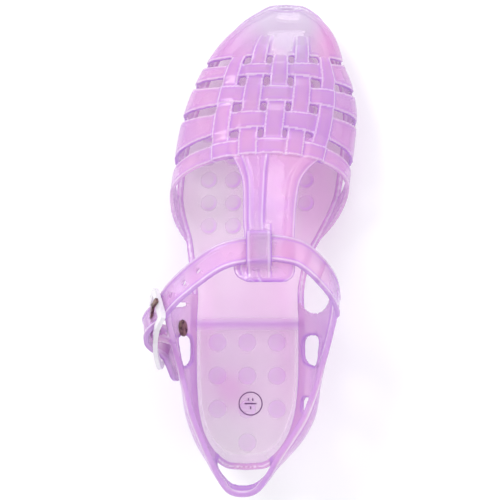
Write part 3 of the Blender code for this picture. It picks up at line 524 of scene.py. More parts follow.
def last_section(share):
    """Sizes of one section of the last."""
    knot = -math.sqrt(max(0.0, 1.0 - share))
    columns = [[row[c] for row in LAST_ROWS] for c in range(1, 5)]
    lateral_out, medial_out, ridge_across, ridge_up = [
        curve_through(LAST_KNOTS, column, knot) for column in columns
    ]
    skin = wall + strip_lift
    inset = rim_width - (rim_width - wall) * 0.5
    ridge = ridge_across * ball_width
    lateral = ridge - sole_edge(-1, share)
    medial = sole_edge(1, share) - ridge
    return {
        "ridge": ridge,
        "top": ridge_up * instep_height,
        "foot": footbed(share) + clearance + 0.5 * rim_bite,
        "wide": (lateral + lateral_out * ball_width - skin, medial + medial_out * ball_width - skin),
        "narrow": (lateral - inset, medial - inset),
    }


def last_point(share, turn):
    """Point of the last: turn runs from 0 at the lateral foot to 1 at the medial foot."""
    section = last_section(share)
    side = 0 if turn <= 0.5 else 1
    part = turn if side == 0 else 1.0 - turn
    wide = section["wide"][side]
    narrow = min(section["narrow"][side], wide * 0.999)
    under = math.acos(narrow / wide)
    angle = -under + (0.5 * math.pi + under) * part * 2.0
    rise = (section["top"] - section["foot"]) / (1.0 + math.sin(under))
    reach = wide * math.cos(angle)
    across = section["ridge"] - reach if side == 0 else section["ridge"] + reach
    pull = rim_width * smooth(0.75, 1.0, share)
    along = share * sole_length - pull
    return Vector((across, along, section["top"] - rise * (1.0 - math.sin(angle))))


def last_turn(share, across):
    """Turn at which the last's section reaches a distance across."""
    section = last_section(share)
    side = 0 if across <= section["ridge"] else 1
    reach = abs(section["ridge"] - across)
    wide = section["wide"][side]
    narrow = min(section["narrow"][side], wide * 0.999)
    under = math.acos(narrow / wide)
    angle = math.acos(min(reach / wide, 1.0))
    part = 0.5 * (angle + under) / (0.5 * math.pi + under)
    return part if side == 0 else 1.0 - part


def last_normal(share, turn):
    """Direction that leaves the last."""
    step = 0.002
    back = last_point(max(share - step, 0.0), turn)
    ahead = last_point(min(share + step, 0.9995), turn)
    left = last_point(share, max(turn - step, 0.0))
    right = last_point(share, min(turn + step, 1.0))
    return (right - left).cross(ahead - back).normalized()


def on_last(share, turn, lift):
    """Point above the last by a lift."""
    return last_point(share, turn) + last_normal(share, turn) * lift


def sole_shares():
    """Rows of the sole: even on the round ends, and close on both sides of the heel breast."""
    breast = [0.283, 0.292, heel_share, heel_share + breast_share]
    even = [0.5 - 0.5 * math.cos(math.pi * k / 34.0) for k in range(35)]
    kept = [s for s in even if all(abs(s - b) > 0.008 for b in breast)]
    return sorted(kept + breast)


def tread_recess(share):
    """Depth of the field between the tread's rim and its nubs."""
    heel = smooth(0.040, 0.060, share) * (1.0 - smooth(0.284, 0.291, share))
    ball = smooth(0.490, 0.520, share) * (1.0 - smooth(0.950, 0.975, share))
    return tread_depth * max(heel, ball)


def nub_spots():
    """Middles of the round tread nubs under the ball and under the heel."""
    spots = []
    for row in range(forefoot_nub_rows):
        share = forefoot_nub_start + row * forefoot_nub_row / sole_length
        for column in range(-4, 6):
            spots.append((share, forefoot_nub_across + column * forefoot_nub_pitch, nub_radius))
    for row in range(heel_nub_rows):
        share = heel_nub_start - row * heel_nub_row / sole_length
        for column in range(-1, 2):
            spots.append((share, heel_nub_across + column * heel_nub_pitch, nub_radius * heel_nub_size))
    kept = []
    for share, across, radius in spots:
        if not 0.03 < share < 0.95:
            continue
        room = nub_margin * (1.0 + 0.25 * smooth(0.88, 0.95, share))
        reach = radius / sole_length
        ahead = max(sole_edge(-1, share + reach), sole_edge(-1, share - reach), sole_edge(-1, share))
        astern = min(sole_edge(1, share + reach), sole_edge(1, share - reach), sole_edge(1, share))
        if ahead + room < across < astern - room:
            kept.append((share, across, radius))
    return kept


def above_bed(spot):
    """Keep the foot of a wall inside the rim and off the sole."""
    floor = footbed(min(max(spot.y / sole_length, 0.0), 1.0)) + clearance + 0.25 * rim_bite
    return Vector((spot.x, spot.y, max(spot.z, floor)))


def line_share(line, turn):
    """Place along the shoe of a line across the vamp, at a turn."""
    return curve_through(LINE_SPOTS, line, turn)


def strip_edges(progress):
    """Turns of both edges of each lengthwise strip: progress is 0 at the toe, 1 at the instep."""
    half = STRIP_HALF_TURN[0] + (STRIP_HALF_TURN[1] - STRIP_HALF_TURN[0]) * progress
    edges = []
    for _, front, rear, _ in STRIP_ROWS:
        middle = front + (rear - front) * progress
        edges += [middle - half, middle + half]
    return edges


def vamp_turns(share):
    """Turns of the vamp's columns at a place along the shoe."""
    progress = min(max((strip_front - share) / (strip_front - strip_rear), 0.0), 1.0)
    edges = strip_edges(progress)
    lateral = [edges[0] * k / lateral_columns for k in range(lateral_columns)]
    medial = [1.0 - (1.0 - edges[-1]) * k / medial_columns for k in reversed(range(medial_columns))]
    return lateral + edges + medial


def tbar_across(share, part):
    """Distance across of a part of the T-bar's width."""
    knots = [-row[0] for row in TBAR_ROWS]
    left = curve_through(knots, [row[1] for row in TBAR_ROWS], -share) * tbar_width
    right = curve_through(knots, [row[2] for row in TBAR_ROWS], -share) * tbar_width
    return tbar_centre + left + (right - left) * part


def strap_bed():
    """Lift of the ankle strap's inner face where it lies on the T-bar."""
    return wall + strip_lift * 0.8 + clearance


def cage_foot(side, share):
    """Where the cage's wall stands on the rim."""
    inset = (rim_width + wall) * 0.5
    if side == "middle":
        across = 0.5 * (sole_edge(-1, 0.0) + sole_edge(1, 0.0))
        return Vector((across, inset, footbed(0.0) + clearance + rim_bite * 0.5))
    sign = -1 if side == "lateral" else 1
    step = 0.004
    low = max(share - step, 0.0)
    high = share + step
    ahead = Vector((sole_edge(sign, high) - sole_edge(sign, low), (high - low) * sole_length, 0.0))
    outward = Vector((ahead.y, -ahead.x, 0.0)).normalized() * sign
    if share == 0.0:
        outward = Vector((0.35 * sign, -0.94, 0.0))
    height = footbed(share) + clearance + rim_bite * 0.5
    return Vector((sole_edge(sign, share), share * sole_length, height)) - outward * inset


def cage_point(station, level):
    """Point of one station of the cage's wall at a level."""
    side, share, across, along, up, bulge = station
    foot = cage_foot(side, share)
    top = Vector((across * heel_width, along * sole_length, up * counter_height))
    along_heart = min(foot.y, cage_heart_end * sole_length) * cage_heart_pull + cage_heart_shift
    heart = Vector((0.0, along_heart, foot.z))
    outward = foot - heart
    outward.z = 0.0
    outward.normalize()
    middle = foot.lerp(top, cage_bend) + outward * bulge * heel_width * cage_reach
    rest = 1.0 - level
    return foot * rest * rest + middle * (2.0 * level * rest) + top * (level * level)


def cage_spot(place, level):
    """Point of the cage's middle surface, between two rows of its table."""
    low = min(int(place), len(CAGE_ROWS) - 2)
    first = cage_point(CAGE_ROWS[low], level)
    return first.lerp(cage_point(CAGE_ROWS[low + 1], level), place - low)


def strap_route():
    """Points, directions and run of the ankle strap's middle line on the last."""
    knots = [-row[0] for row in STRAP_ROWS]
    shares = [row[1] for row in STRAP_ROWS]
    start, end = knots[0], knots[-1]
    fine = 400
    spots = []
    for k in range(fine + 1):
        knot = start + (end - start) * k / fine
        share = curve_through(knots, shares, knot)
        spots.append((share, -knot, last_point(share, -knot)))
    runs = [0.0]
    for k in range(fine):
        runs.append(runs[-1] + (spots[k + 1][2] - spots[k][2]).length)
    return spots, runs


ROUTE, RUNS = strap_route()
route_length = RUNS[-1]


def route_frame(run):
    """Middle, direction, outward normal and width direction of the strap at a run."""
    run = min(max(run, 0.0), route_length)
    low = 0
    while low < len(RUNS) - 2 and RUNS[low + 1] < run:
        low += 1
    part = (run - RUNS[low]) / (RUNS[low + 1] - RUNS[low])
    first, second = ROUTE[low], ROUTE[low + 1]
    point = first[2].lerp(second[2], part)
    before = ROUTE[max(low - 9, 0)][2]
    after = ROUTE[min(low + 10, len(ROUTE) - 1)][2]
    ahead = (after - before).normalized()
    share = first[0] + (second[0] - first[0]) * part
    turn = first[1] + (second[1] - first[1]) * part
    outward = last_normal(share, turn)
    outward = (outward - ahead * outward.dot(ahead)).normalized()
    return point, ahead, outward, outward.cross(ahead).normalized()


def buckle_lift():
    """Lift of the buckle frame's middle surface over the last."""
    return strap_side_lift + strap_thickness + strap_rib + 2.0 * clearance + 0.5 * buckle_thickness


def sleeve_radius():
    """Outer radius of the ears round the middle bar."""
    return middle_bar_radius + clearance + sleeve_wall


def strap_lift(run):
    """Lift of the strap's inner face: on the T-bar, under, over and under the buckle's bars."""
    middle_run = RUNS[min(range(len(ROUTE)), key=lambda k: abs(ROUTE[k][1] - keeper_turn))]
    on_bar = 1.0 - smooth(0.6 * tbar_width, 1.5 * tbar_width, abs(run - middle_run))
    low = strap_side_lift + (strap_bed() - strap_side_lift) * on_bar
    high = buckle_lift() + sleeve_radius() + clearance * 2.0
    bar_edge = 0.5 * buckle_length - buckle_bar
    away = abs(run - buckle_place)
    return low + (high - low) * (1.0 - smooth(sleeve_radius() * 0.7, bar_edge, away))


def buckle_frame_axes():
    """Middle of the buckle's frame and its three directions."""
    point, ahead, outward, sideways = route_frame(buckle_place)
    return point + outward * buckle_lift(), ahead, outward, sideways


def prong_ring_radius():
    """Middle radius of the prong's ring."""
    return middle_bar_radius + clearance + prong_thickness * 0.6


def frame_shift():
    """Move from the sandal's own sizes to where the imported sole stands."""
    outline, _ = outline_loop(sole_shares(), lambda share: 0.0)
    low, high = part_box("outsole")
    return Vector((high.x - max(p.x for p in outline), low.y - min(p.y for p in outline), low.z))


SHIFT = frame_shift()


def ease(low, high, value):
    """Ease from 0 at low to 1 at high, on whole arrays."""
    share = np.clip((value - low) / (high - low), 0.0, 1.0)
    return share * share * (3.0 - 2.0 * share)


def new_object(name, points, faces):
    """Mesh object from points and faces, with its faces turned outward."""
    mesh = bpy.data.meshes.new(name)
    mesh.from_pydata([tuple(p) for p in points], [], [tuple(f) for f in faces])
    mesh.update()
    work = bmesh.new()
    work.from_mesh(mesh)
    bmesh.ops.recalc_face_normals(work, faces=work.faces)
    work.to_mesh(mesh)
    work.free()
    item = bpy.data.objects.new(name, mesh)
    bpy.context.scene.collection.objects.link(item)
    return item


def loft(name, loops, closed_path=False):
    """Skin a row of closed loops with equal point counts, and cap the ends of an open row."""
    size = len(loops[0])
    points = [point for loop in loops for point in loop]
    faces = []
    last = len(loops) if closed_path else len(loops) - 1
    for row in range(last):
        after = (row + 1) % len(loops)
        for k in range(size):
            n = (k + 1) % size
            faces.append((row * size + k, row * size + n, after * size + n, after * size + k))
    if not closed_path:
        faces.append(tuple(range(size)))
        faces.append(tuple((len(loops) - 1) * size + k for k in reversed(range(size))))
    return new_object(name, points, faces)


def grid_normals(grid):
    """Directions that leave a grid of points: rows run across, columns along."""
    along = np.gradient(grid, axis=0)
    across = np.gradient(grid, axis=1)
    normals = np.cross(along, across)
    return normals / np.maximum(np.linalg.norm(normals, axis=2, keepdims=True), 1e-12)


def wall_object(name, inner, outer, solid):
    """Close a wall between two grids of points, with openings where solid is false."""
    rows, columns = solid.shape
    count = (rows + 1) * (columns + 1)
    points = np.concatenate([inner.reshape(-1, 3), outer.reshape(-1, 3)])

    def at(r, c, level):
        return level * count + r * (columns + 1) + c

    faces = []
    for r in range(rows):
        for c in range(columns):
            if not solid[r, c]:
                continue
            corners = ((r, c), (r + 1, c), (r + 1, c + 1), (r, c + 1))
            faces.append([at(*corner, 1) for corner in corners])
            faces.append([at(*corner, 0) for corner in reversed(corners)])
            beside = ((r, c - 1), (r + 1, c), (r, c + 1), (r - 1, c))
            for side, (nr, nc) in enumerate(beside):
                if 0 <= nr < rows and 0 <= nc < columns and solid[nr, nc]:
                    continue
                start = corners[side]
                end = corners[(side + 1) % 4]
                faces.append([at(*start, 0), at(*end, 0), at(*end, 1), at(*start, 1)])
    used = sorted({index for face in faces for index in face})
    number = {index: k for k, index in enumerate(used)}
    return new_object(name, points[used], [[number[i] for i in face] for face in faces])


def joined(items, name):
    """Join pieces into the first of them, under a new name."""
    target = items[0]
    with bpy.context.temp_override(
        active_object=target, object=target, selected_objects=items, selected_editable_objects=items
    ):
        bpy.ops.object.join()
    target.name = name
    target.data.name = name
    return target


def join_and_melt(items, name, voxel):
    """Fuse overlapping closed pieces into one smooth moulded skin."""
    target = joined(items, name)
    remesh = target.modifiers.new("Melt", "REMESH")
    remesh.mode = "VOXEL"
    remesh.voxel_size = voxel
    remesh.use_smooth_shade = True
    soften = target.modifiers.new("Soften", "SMOOTH")
    soften.factor = 0.5
    soften.iterations = melt_smoothing
    apply_modifiers(target)
    return target


def apply_modifiers(item):
    """Put the modifiers' result in place of the piece's mesh."""
    graph = bpy.context.evaluated_depsgraph_get()
    result = bpy.data.meshes.new_from_object(item.evaluated_get(graph))
    item.modifiers.clear()
    old = item.data
    item.data = result
    result.name = item.name
    bpy.data.meshes.remove(old)
    item.data.shade_smooth()


def settle(item):
    """Move a piece from the sandal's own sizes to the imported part's place."""
    for vertex in item.data.vertices:
        vertex.co += SHIFT
    item.data.update()


def refine(knots, step_count):
    """Split each stretch between whole knots into even steps."""
    values = []
    for k in range(knots):
        values += [k + n / step_count[k] for n in range(step_count[k])]
    return np.array(values + [float(knots)])


def band_number(name):
    """Number of the band in a line's name, or 0."""
    return int(name.split()[1]) if name.startswith("band") else 0


def weave_levels():
    """Level of each cell's corners on the vamp: 0 is an opening, 1 the wall, 2 a raised strip."""
    names = [row[0] for row in VAMP_LINES]
    rows = len(names) - 1
    columns = len(vamp_turns(0.9)) - 1
    strips = len(STRIP_ROWS)
    cells = np.zeros((rows, columns, 4))
    for r in range(rows):
        front, rear = names[r], names[r + 1]
        is_cap = r < names.index("cap rear")
        is_band = front.startswith("band") and front.endswith("front")
        even = band_number(front) % 2 == 0
        for c in range(columns):
            strip = c - lateral_columns
            on_weave = 0 <= strip < 2 * strips - 1
            on_strip = on_weave and strip % 2 == 0
            over_even = on_strip and STRIP_ROWS[strip // 2][3]
            if is_cap:
                raised = on_strip and over_even
                cells[r, c] = 1
                if raised and rear == "cap rear":
                    cells[r, c] = 2
                if raised and rear == "cap strips":
                    cells[r, c] = (1, 2, 2, 1)
            elif is_band:
                if not on_weave:
                    cells[r, c] = 1
                elif on_strip:
                    cells[r, c] = 2.0
                else:
                    left = 2 if STRIP_ROWS[strip // 2][3] != even else 1
                    right = 2 if STRIP_ROWS[strip // 2 + 1][3] != even else 1
                    cells[r, c] = (left, left, right, right)
            elif on_strip:
                ahead_over = over_even == even
                near, far = (2, 1) if ahead_over else (1, 2)
                cells[r, c] = (near, far, far, near)
            elif c in (0, columns - 1) and rear != "band 4 front":
                cells[r, c] = 1
    return cells


def vamp_wall(fine):
    """Toe cap, cross bands and lengthwise strips as one wall with rounded raised crossings."""
    lines = [row[1:] for row in VAMP_LINES]
    cells = weave_levels()
    rows, columns = cells.shape[:2]
    row_steps = []
    for r in range(rows):
        length = abs(lines[r][2] - lines[r + 1][2]) * sole_length
        row_steps.append(max(3, int(fine * length / strip_step)))
    weave = range(lateral_columns, columns - medial_columns)
    column_steps = [fine + 2 if c in weave else fine + 4 for c in range(columns)]
    us = refine(rows, row_steps)
    vs = refine(columns, column_steps)
    grid = np.zeros((len(us), len(vs), 3))
    turns_at = {}
    for i, u in enumerate(us):
        r = min(int(u), rows - 1)
        part = u - r
        for whole in (r, r + 1):
            if whole not in turns_at:
                turns_at[whole] = vamp_turns(line_share(lines[whole], 0.5))
        for j, v in enumerate(vs):
            c = min(int(v), columns - 1)
            across = v - c
            first = turns_at[r][c] + (turns_at[r][c + 1] - turns_at[r][c]) * across
            second = turns_at[r + 1][c] + (turns_at[r + 1][c + 1] - turns_at[r + 1][c]) * across
            turn = first + (second - first) * part
            share = line_share(lines[r], turn) * (1.0 - part) + line_share(lines[r + 1], turn) * part
            grid[i, j] = last_point(share, turn)
    solid = np.zeros((len(us) - 1, len(vs) - 1), bool)
    sums = np.zeros((len(us), len(vs)))
    weights = np.zeros((len(us), len(vs)))
    for i in range(len(us) - 1):
        for j in range(len(vs) - 1):
            middle_u = 0.5 * (us[i] + us[i + 1])
            middle_v = 0.5 * (vs[j] + vs[j + 1])
            cell = cells[int(middle_u), int(middle_v)]
            if cell[0] == 0:
                continue
            solid[i, j] = True
            for di, dj in ((0, 0), (1, 0), (1, 1), (0, 1)):
                pu = us[i + di] - int(middle_u)
                pv = vs[j + dj] - int(middle_v)
                near = cell[0] * (1 - pu) * (1 - pv) + cell[1] * pu * (1 - pv)
                level = near + cell[2] * pu * pv + cell[3] * (1 - pu) * pv
                sums[i + di, j + dj] += level
                weights[i + di, j + dj] += 1.0
    level = np.where(weights > 0, sums / np.maximum(weights, 1), 1.0)
    normals = grid_normals(grid)
    outer = grid + normals * (wall + (level - 1.0) * strip_lift * weave_relief)[:, :, None]
    mark_vamp(outer, us, vs, cells)
    return wall_object("vamp wall", keep_above(grid), keep_above(outer), solid)


def mark_vamp(outer, us, vs, cells):
    """Painted highlights as pale lines inside every strip and band edge, and painted shade as a deep
    line beside each raised one.
    """
    down = np.linalg.norm(np.gradient(outer, us, axis=0), axis=2)
    over = np.linalg.norm(np.gradient(outer, vs, axis=1), axis=2)
    spots = spots_on(outer, 4, (down, "points"), (over, "points"), (us, "rows"), (vs, "columns"))
    rows, columns = cells.shape[:2]
    r = np.minimum(spots[:, 5].astype(int), rows - 1)
    c = np.minimum(spots[:, 6].astype(int), columns - 1)
    part_u = spots[:, 5] - r
    part_v = spots[:, 6] - c
    corners = np.pad(cells, ((1, 1), (1, 1), (0, 0)))
    front = 0.5 * (corners[..., 0] + corners[..., 3])
    rear = 0.5 * (corners[..., 1] + corners[..., 2])
    left = 0.5 * (corners[..., 0] + corners[..., 1])
    right = 0.5 * (corners[..., 2] + corners[..., 3])
    shine = np.zeros(len(spots))
    deep = np.zeros(len(spots))
    for own, other, dr, dc, distance in (
        (front, rear, -1, 0, part_u * spots[:, 3]),
        (rear, front, 1, 0, (1.0 - part_u) * spots[:, 3]),
        (left, right, 0, -1, part_v * spots[:, 4]),
        (right, left, 0, 1, (1.0 - part_v) * spots[:, 4]),
    ):
        step = own[r + 1, c + 1] - other[r + 1 + dr, c + 1 + dc]
        above = np.clip(step, 0.0, 1.0)
        # Painted shade beside a higher strip; painted highlight and a deep line inside the higher
        # strip's edge.
        beside = np.clip(-step, 0.0, 1.0) * painted(distance, STRIP_HOLLOW_SHADE)
        shine = np.maximum(shine, above * painted(distance, STRIP_PALE))
        deep = np.maximum(deep, np.maximum(above * painted(distance, STRIP_DEEP), beside))
    own_level = cells[r, c].mean(axis=1)
    keep_marks(spots[:, :3], shine, deep + raised_deep * np.clip(own_level - 1.0, 0.0, 1.0))


def keep_above(grid):
    """Keep the feet of a wall inside the rim and off the sole."""
    result = grid.copy()
    for index in np.ndindex(grid.shape[:2]):
        result[index] = above_bed(Vector(grid[index]))
    return result


def tbar_wall():
    """Instep bar with two long ridges and a raised edge."""
    shares = np.linspace(TBAR_ROWS[0][0], TBAR_ROWS[-1][0], bar_row_count)
    parts = np.linspace(0.0, 1.0, bar_column_count)
    grid = np.zeros((len(shares), len(parts), 3))
    for i, share in enumerate(shares):
        for j, part in enumerate(parts):
            grid[i, j] = last_point(share, last_turn(share, tbar_across(share, part)))
    normals = grid_normals(grid)
    run = ease(0.0, 0.03, TBAR_ROWS[1][0] - shares) * ease(0.0, 0.02, shares - TBAR_ROWS[-3][0])
    lift = np.zeros((len(shares), len(parts)))
    for first, last, height in TBAR_RIDGES:
        rise = ease(first - ridge_edge, first + ridge_edge, parts)
        fall = ease(last - ridge_edge, last + ridge_edge, parts)
        lift += (rise * (1.0 - fall))[None, :] * height * run[:, None]
    outer = grid + normals * (wall + lift)[:, :, None]
    mark_tbar(outer, shares, parts)
    solid = np.ones((len(shares) - 1, len(parts) - 1), bool)
    return wall_object("tbar wall", grid + normals * bar_inset, outer, solid)


def mark_tbar(outer, shares, parts):
    """Painted highlights and painted shade as lines along the bar's edges, along its raised ribbon and
    round its lower end.
    """
    widths = np.linalg.norm(outer[:, -1] - outer[:, 0], axis=1)
    left = (shares - TBAR_ROWS[-1][0]) * sole_length
    spots = spots_on(outer, 3, (widths, "rows"), (parts, "columns"), (left, "rows"))
    part, width, end = spots[:, 4], spots[:, 3], spots[:, 5]
    shine = np.zeros(len(spots))
    deep = painted(end, BAR_END)
    for edge, direction in BAR_EDGES:
        inside = (part - edge) * direction * width
        shine = np.maximum(shine, painted(inside, BAR_PALE))
        deep = np.maximum.reduce([deep, painted(inside, BAR_DEEP), painted(inside, BAR_INNER)])
    keep_marks(spots[:, :3], shine, deep)


def keeper_loop():
    """Loop that holds the ankle strap down on the bar."""
    middle = curve_through(
        [row[0] for row in reversed(STRAP_ROWS)], [row[1] for row in reversed(STRAP_ROWS)], keeper_turn
    )
    half = 0.5 * strap_width + keeper_slack
    roof = strap_bed() + strap_thickness + strap_rib + clearance
    stops = (
        (half + keeper_ramp + keeper_front, wall * 0.5),
        (half + keeper_ramp, wall * 0.5),
        (half + 0.0004, roof),
        (half * 0.4, roof),
        (-half * 0.4, roof),
        (-half - 0.0004, roof),
        (-half - keeper_ramp, wall * 0.5),
        (-half - keeper_ramp - keeper_rear, wall * 0.5),
    )
    left = tbar_across(middle, 0.10)
    us = refine(len(stops) - 1, [keeper_steps] * (len(stops) - 1))
    parts = np.linspace(0.0, 1.0, keeper_column_count)
    inner = np.zeros((len(us), len(parts), 3))
    outer = np.zeros_like(inner)
    for i, u in enumerate(us):
        r = min(int(u), len(stops) - 2)
        run = stops[r][0] + (stops[r + 1][0] - stops[r][0]) * (u - r)
        low = stops[r][1] + (stops[r + 1][1] - stops[r][1]) * (u - r)
        share = middle + run * keeper_slope / sole_length
        for j, part in enumerate(parts):
            turn = last_turn(share, left + keeper_width * part)
            crown = 1.0 - keeper_crown * abs(2.0 * part - 1.0) ** 6
            inner[i, j] = on_last(share, turn, low)
            outer[i, j] = on_last(share, turn, low + keeper_thickness * crown)
    # Painted highlights along the keeper's edges, painted shade at its edges and in its folds.
    spots = spots_on(outer, 4, (us, "rows"), (parts, "columns"))
    edge = np.minimum(spots[:, 4], 1.0 - spots[:, 4]) * keeper_width
    fold_shade = [painted(spots[:, 3], fold) for fold in KEEPER_FOLD_SHADE]
    deep = np.maximum.reduce([painted(edge, KEEPER_DEEP)] + fold_shade)
    keep_marks(spots[:, :3], painted(edge, KEEPER_PALE), deep)
    return wall_object("keeper", inner, outer, np.ones((len(us) - 1, len(parts) - 1), bool))


def window_reach(hole, place, level):
    """How far a spot lies from a rounded window's middle: 1 is on its edge, on whole arrays too."""
    _, first, last, low, high = hole
    low_level = CAGE_LEVELS[low] if low > 0 else -0.4
    high_level = CAGE_LEVELS[high]
    x = (place - 0.5 * (first + last)) / (0.5 * (last - first))
    y = (level - 0.5 * (low_level + high_level)) / (0.5 * (high_level - low_level))
    return abs(x) ** window_rounding + abs(y) ** window_rounding


def window_open(place, level):
    """Whether a spot of the cage lies in one of its rounded openings."""
    for at, up, half_wide, half_tall in CAGE_HOLLOWS:
        if math.hypot((place - at) / half_wide, (level - up) / half_tall) < 1.0:
            return True
    return any(window_reach(hole, place, level) < 1.0 for hole in CAGE_HOLES)


def cage_wall():
    """Posts, windows and back strap round the heel, with a rolled top edge."""
    columns = len(CAGE_ROWS) - 1
    ahead = [-cage_ahead * (1.0 - k / cage_steps) for k in range(cage_steps)]
    places = np.concatenate([ahead, refine(columns, [cage_steps] * columns)])
    levels = np.linspace(0.0, 1.0, cage_level_count)
    across_table = [[tuple(cage_point(row, level)) for row in CAGE_ROWS] for level in levels]
    grid = np.zeros((len(places), len(levels), 3))
    for j in range(len(levels)):
        for axis in range(3):
            values = [spot[axis] for spot in across_table[j]]
            for i, place in enumerate(places):
                grid[i, j, axis] = catmull(values, place)
    normals = grid_normals(grid)
    if normals[len(places) // 2, len(levels) // 2, 1] > 0.0:
        normals = -normals
    roll = ease(*ROLL_START, levels) * (1.0 - roll_fall * ease(*ROLL_END, levels))
    lift = 0.5 * wall + strip_lift * 0.8 * roll
    inner = grid - normals * 0.5 * wall
    outer = grid + normals * (lift[None, :, None])
    solid = np.ones((len(places) - 1, len(levels) - 1), bool)
    for i in range(len(places) - 1):
        for j in range(len(levels) - 1):
            if window_open(0.5 * (places[i] + places[i + 1]), 0.5 * (levels[j] + levels[j + 1])):
                solid[i, j] = False
    for side in (inner, outer):
        mark_cage(side, places, levels)
    return wall_object("cage wall", keep_above(inner), keep_above(outer), solid)


def mark_cage(side, places, levels):
    """A painted highlight on the rolled top edge between two lines of painted shade, and painted shade
    round the windows.
    """
    tall = np.linalg.norm(side[:, -1] - side[:, 0], axis=1)
    spots = spots_on(side, 2, (tall, "rows"), (places, "rows"), (levels, "columns"))
    below = (1.0 - spots[:, 5]) * spots[:, 3]
    deep = np.maximum(painted(below, ROLL_INNER), painted(below, ROLL_OUTER))
    for hole in CAGE_HOLES:
        beyond = window_reach(hole, spots[:, 4], spots[:, 5]) ** (1.0 / window_rounding) - 1.0
        deep = np.maximum(deep, painted(beyond * window_size, WINDOW_DEEP))
    keep_marks(spots[:, :3], painted(below, ROLL_PALE), deep)


def catmull(values, where):
    """Read a smooth curve through evenly spaced values."""
    k = min(int(max(where, 0.0)), len(values) - 2)
    t = where - k
    if t < 0.0:
        return values[0] + (values[1] - values[0]) * t
    p1, p2 = values[k], values[k + 1]
    p0 = values[k - 1] if k > 0 else 2.0 * p1 - p2
    p3 = values[k + 2] if k + 2 < len(values) else 2.0 * p2 - p1
    squares = 2 * p0 - 5 * p1 + 4 * p2 - p3
    cubes = 3 * p1 - p0 - 3 * p2 + p3
    return 0.5 * (2 * p1 + (p2 - p0) * t + squares * t * t + cubes * t ** 3)


def fine_sole_shares(count):
    """Rows of the sole, even on the round ends and close at the heel breast."""
    even = [0.5 - 0.5 * math.cos(math.pi * k / count) for k in range(count + 1)]
    breast = [heel_share - 0.004, heel_share, heel_share + 0.004, heel_share + breast_share]
    kept = [s for s in even if all(abs(s - b) > 0.0025 for b in breast)]
    return sorted(kept + breast)


def rim_ring(shares, front):
    """Welt rim with a soft round top: the stretch round the toe, or the one round the heel."""
    profile = (
        (-rim_width, clearance),
        (0.0, clearance),
        (0.0, clearance + rim_height * 0.60),
        (-rim_width * 0.10, clearance + rim_height * 0.88),
        (-rim_width * 0.30, clearance + rim_height),
        (-rim_width * 0.70, clearance + rim_height),
        (-rim_width * 0.90, clearance + rim_height * 0.88),
        (-rim_width, clearance + rim_height * 0.60),
    )
    sections = []
    for offset, lift in profile:
        flat, at = outline_loop(shares, lambda s, o=offset: o)
        sections.append([Vector((p.x, p.y, footbed(s) + lift)) for p, s in zip(flat, at)])
    ahead = [k for k in range(len(at)) if at[k] >= rim_split]
    if front:
        order = ahead
    else:
        order = list(range(ahead[-1], len(at))) + list(range(ahead[0] + 1))
    rings = [[section[k] for section in sections] for k in order]
    grid = np.array([[tuple(spot) for spot in ring] for ring in rings])
    across = np.array([offset for offset, _ in profile])
    spots = spots_on(grid, 3, (across, "columns"))
    share = spots[:, 1] / sole_length
    heel = (1.0 - ease(0.34, 0.40, share)) * ease(0.02, 0.08, share)
    # Painted highlight along the rim's top, weaker round the heel.
    shine = painted(spots[:, 3], RIM_PALE) * (rim_shine[0] + rim_shine[1] * heel)
    keep_marks(spots[:, :3], shine, rim_deep[0] + rim_deep[1] * heel)
    return loft("rim", rings)


def strap_profile(half):
    """Flat inside with round edges, and a round rib along both edges outside."""
    top = strap_thickness
    rib = min(strap_rib_width, half * 0.4)
    r = 0.0004
    right = [
        (half - r, 0.0), (half - 0.3 * r, 0.3 * r), (half, r),
        (half, top + strap_rib * 0.4), (half - 0.25 * rib, top + strap_rib * 0.95),
        (half - 0.5 * rib, top + strap_rib), (half - 0.85 * rib, top + strap_rib * 0.7),
        (half - 1.25 * rib, top), (half * 0.35, top),
    ]
    left = [(-x, z) for x, z in reversed(right)]
    return right + left


def strap_loops(first, last, steps):
    """Loops of the ankle strap between two runs, its round tail drawn in."""
    loops = []
    for k in range(steps + 1):
        run = first + (last - first) * k / steps
        point, ahead, outward, sideways = route_frame(run)
        point = point + outward * strap_lift(run)
        step = 0.0005
        slope = (strap_lift(run + step) - strap_lift(run - step)) / (2.0 * step)
        outward = (outward - ahead * slope).normalized()
        left = route_length - run
        taper = 1.0
        if left < 0.5 * strap_width:
            taper = math.sqrt(max(0.02, 1.0 - (1.0 - left / (0.5 * strap_width)) ** 2))
        profile = strap_profile(0.5 * strap_width * taper)
        loops.append([point + sideways * x + outward * z for x, z in profile])
    mark_strap(loops)
    return loops


def mark_strap(loops):
    """Painted highlights on the ribs along both edges, each between two lines of painted shade."""
    grid = np.array([[tuple(spot) for spot in loop] for loop in loops])
    across = np.array([abs(x) for x, _ in strap_profile(0.5 * strap_width)])
    spots = spots_on(grid, 3, (0.5 * strap_width - across, "columns"))
    deep = np.maximum(painted(spots[:, 3], RIB_OUTER), painted(spots[:, 3], RIB_INNER))
    keep_marks(spots[:, :3], painted(spots[:, 3], RIB_PALE), deep)


def pin_hole(run, radius, length=0.012):
    """Round pin through the strap at a run."""
    point, _, outward, sideways = route_frame(run)
    ahead = sideways.cross(outward).normalized()
    loops = []
    for height in (-0.5 * length, 0.5 * length):
        middle = point + outward * (strap_lift(run) + height)
        loops.append([
            middle + (sideways * math.cos(a) + ahead * math.sin(a)) * radius
            for a in (2.0 * math.pi * k / 20 for k in range(20))
        ])
    return loft("pin hole", loops)


def cut(item, other):
    """Take one closed piece away from another."""
    modifier = item.modifiers.new("Cut", "BOOLEAN")
    modifier.operation = "DIFFERENCE"
    modifier.solver = "EXACT"
    modifier.object = other
    apply_modifiers(item)
    bpy.data.objects.remove(other, do_unlink=True)


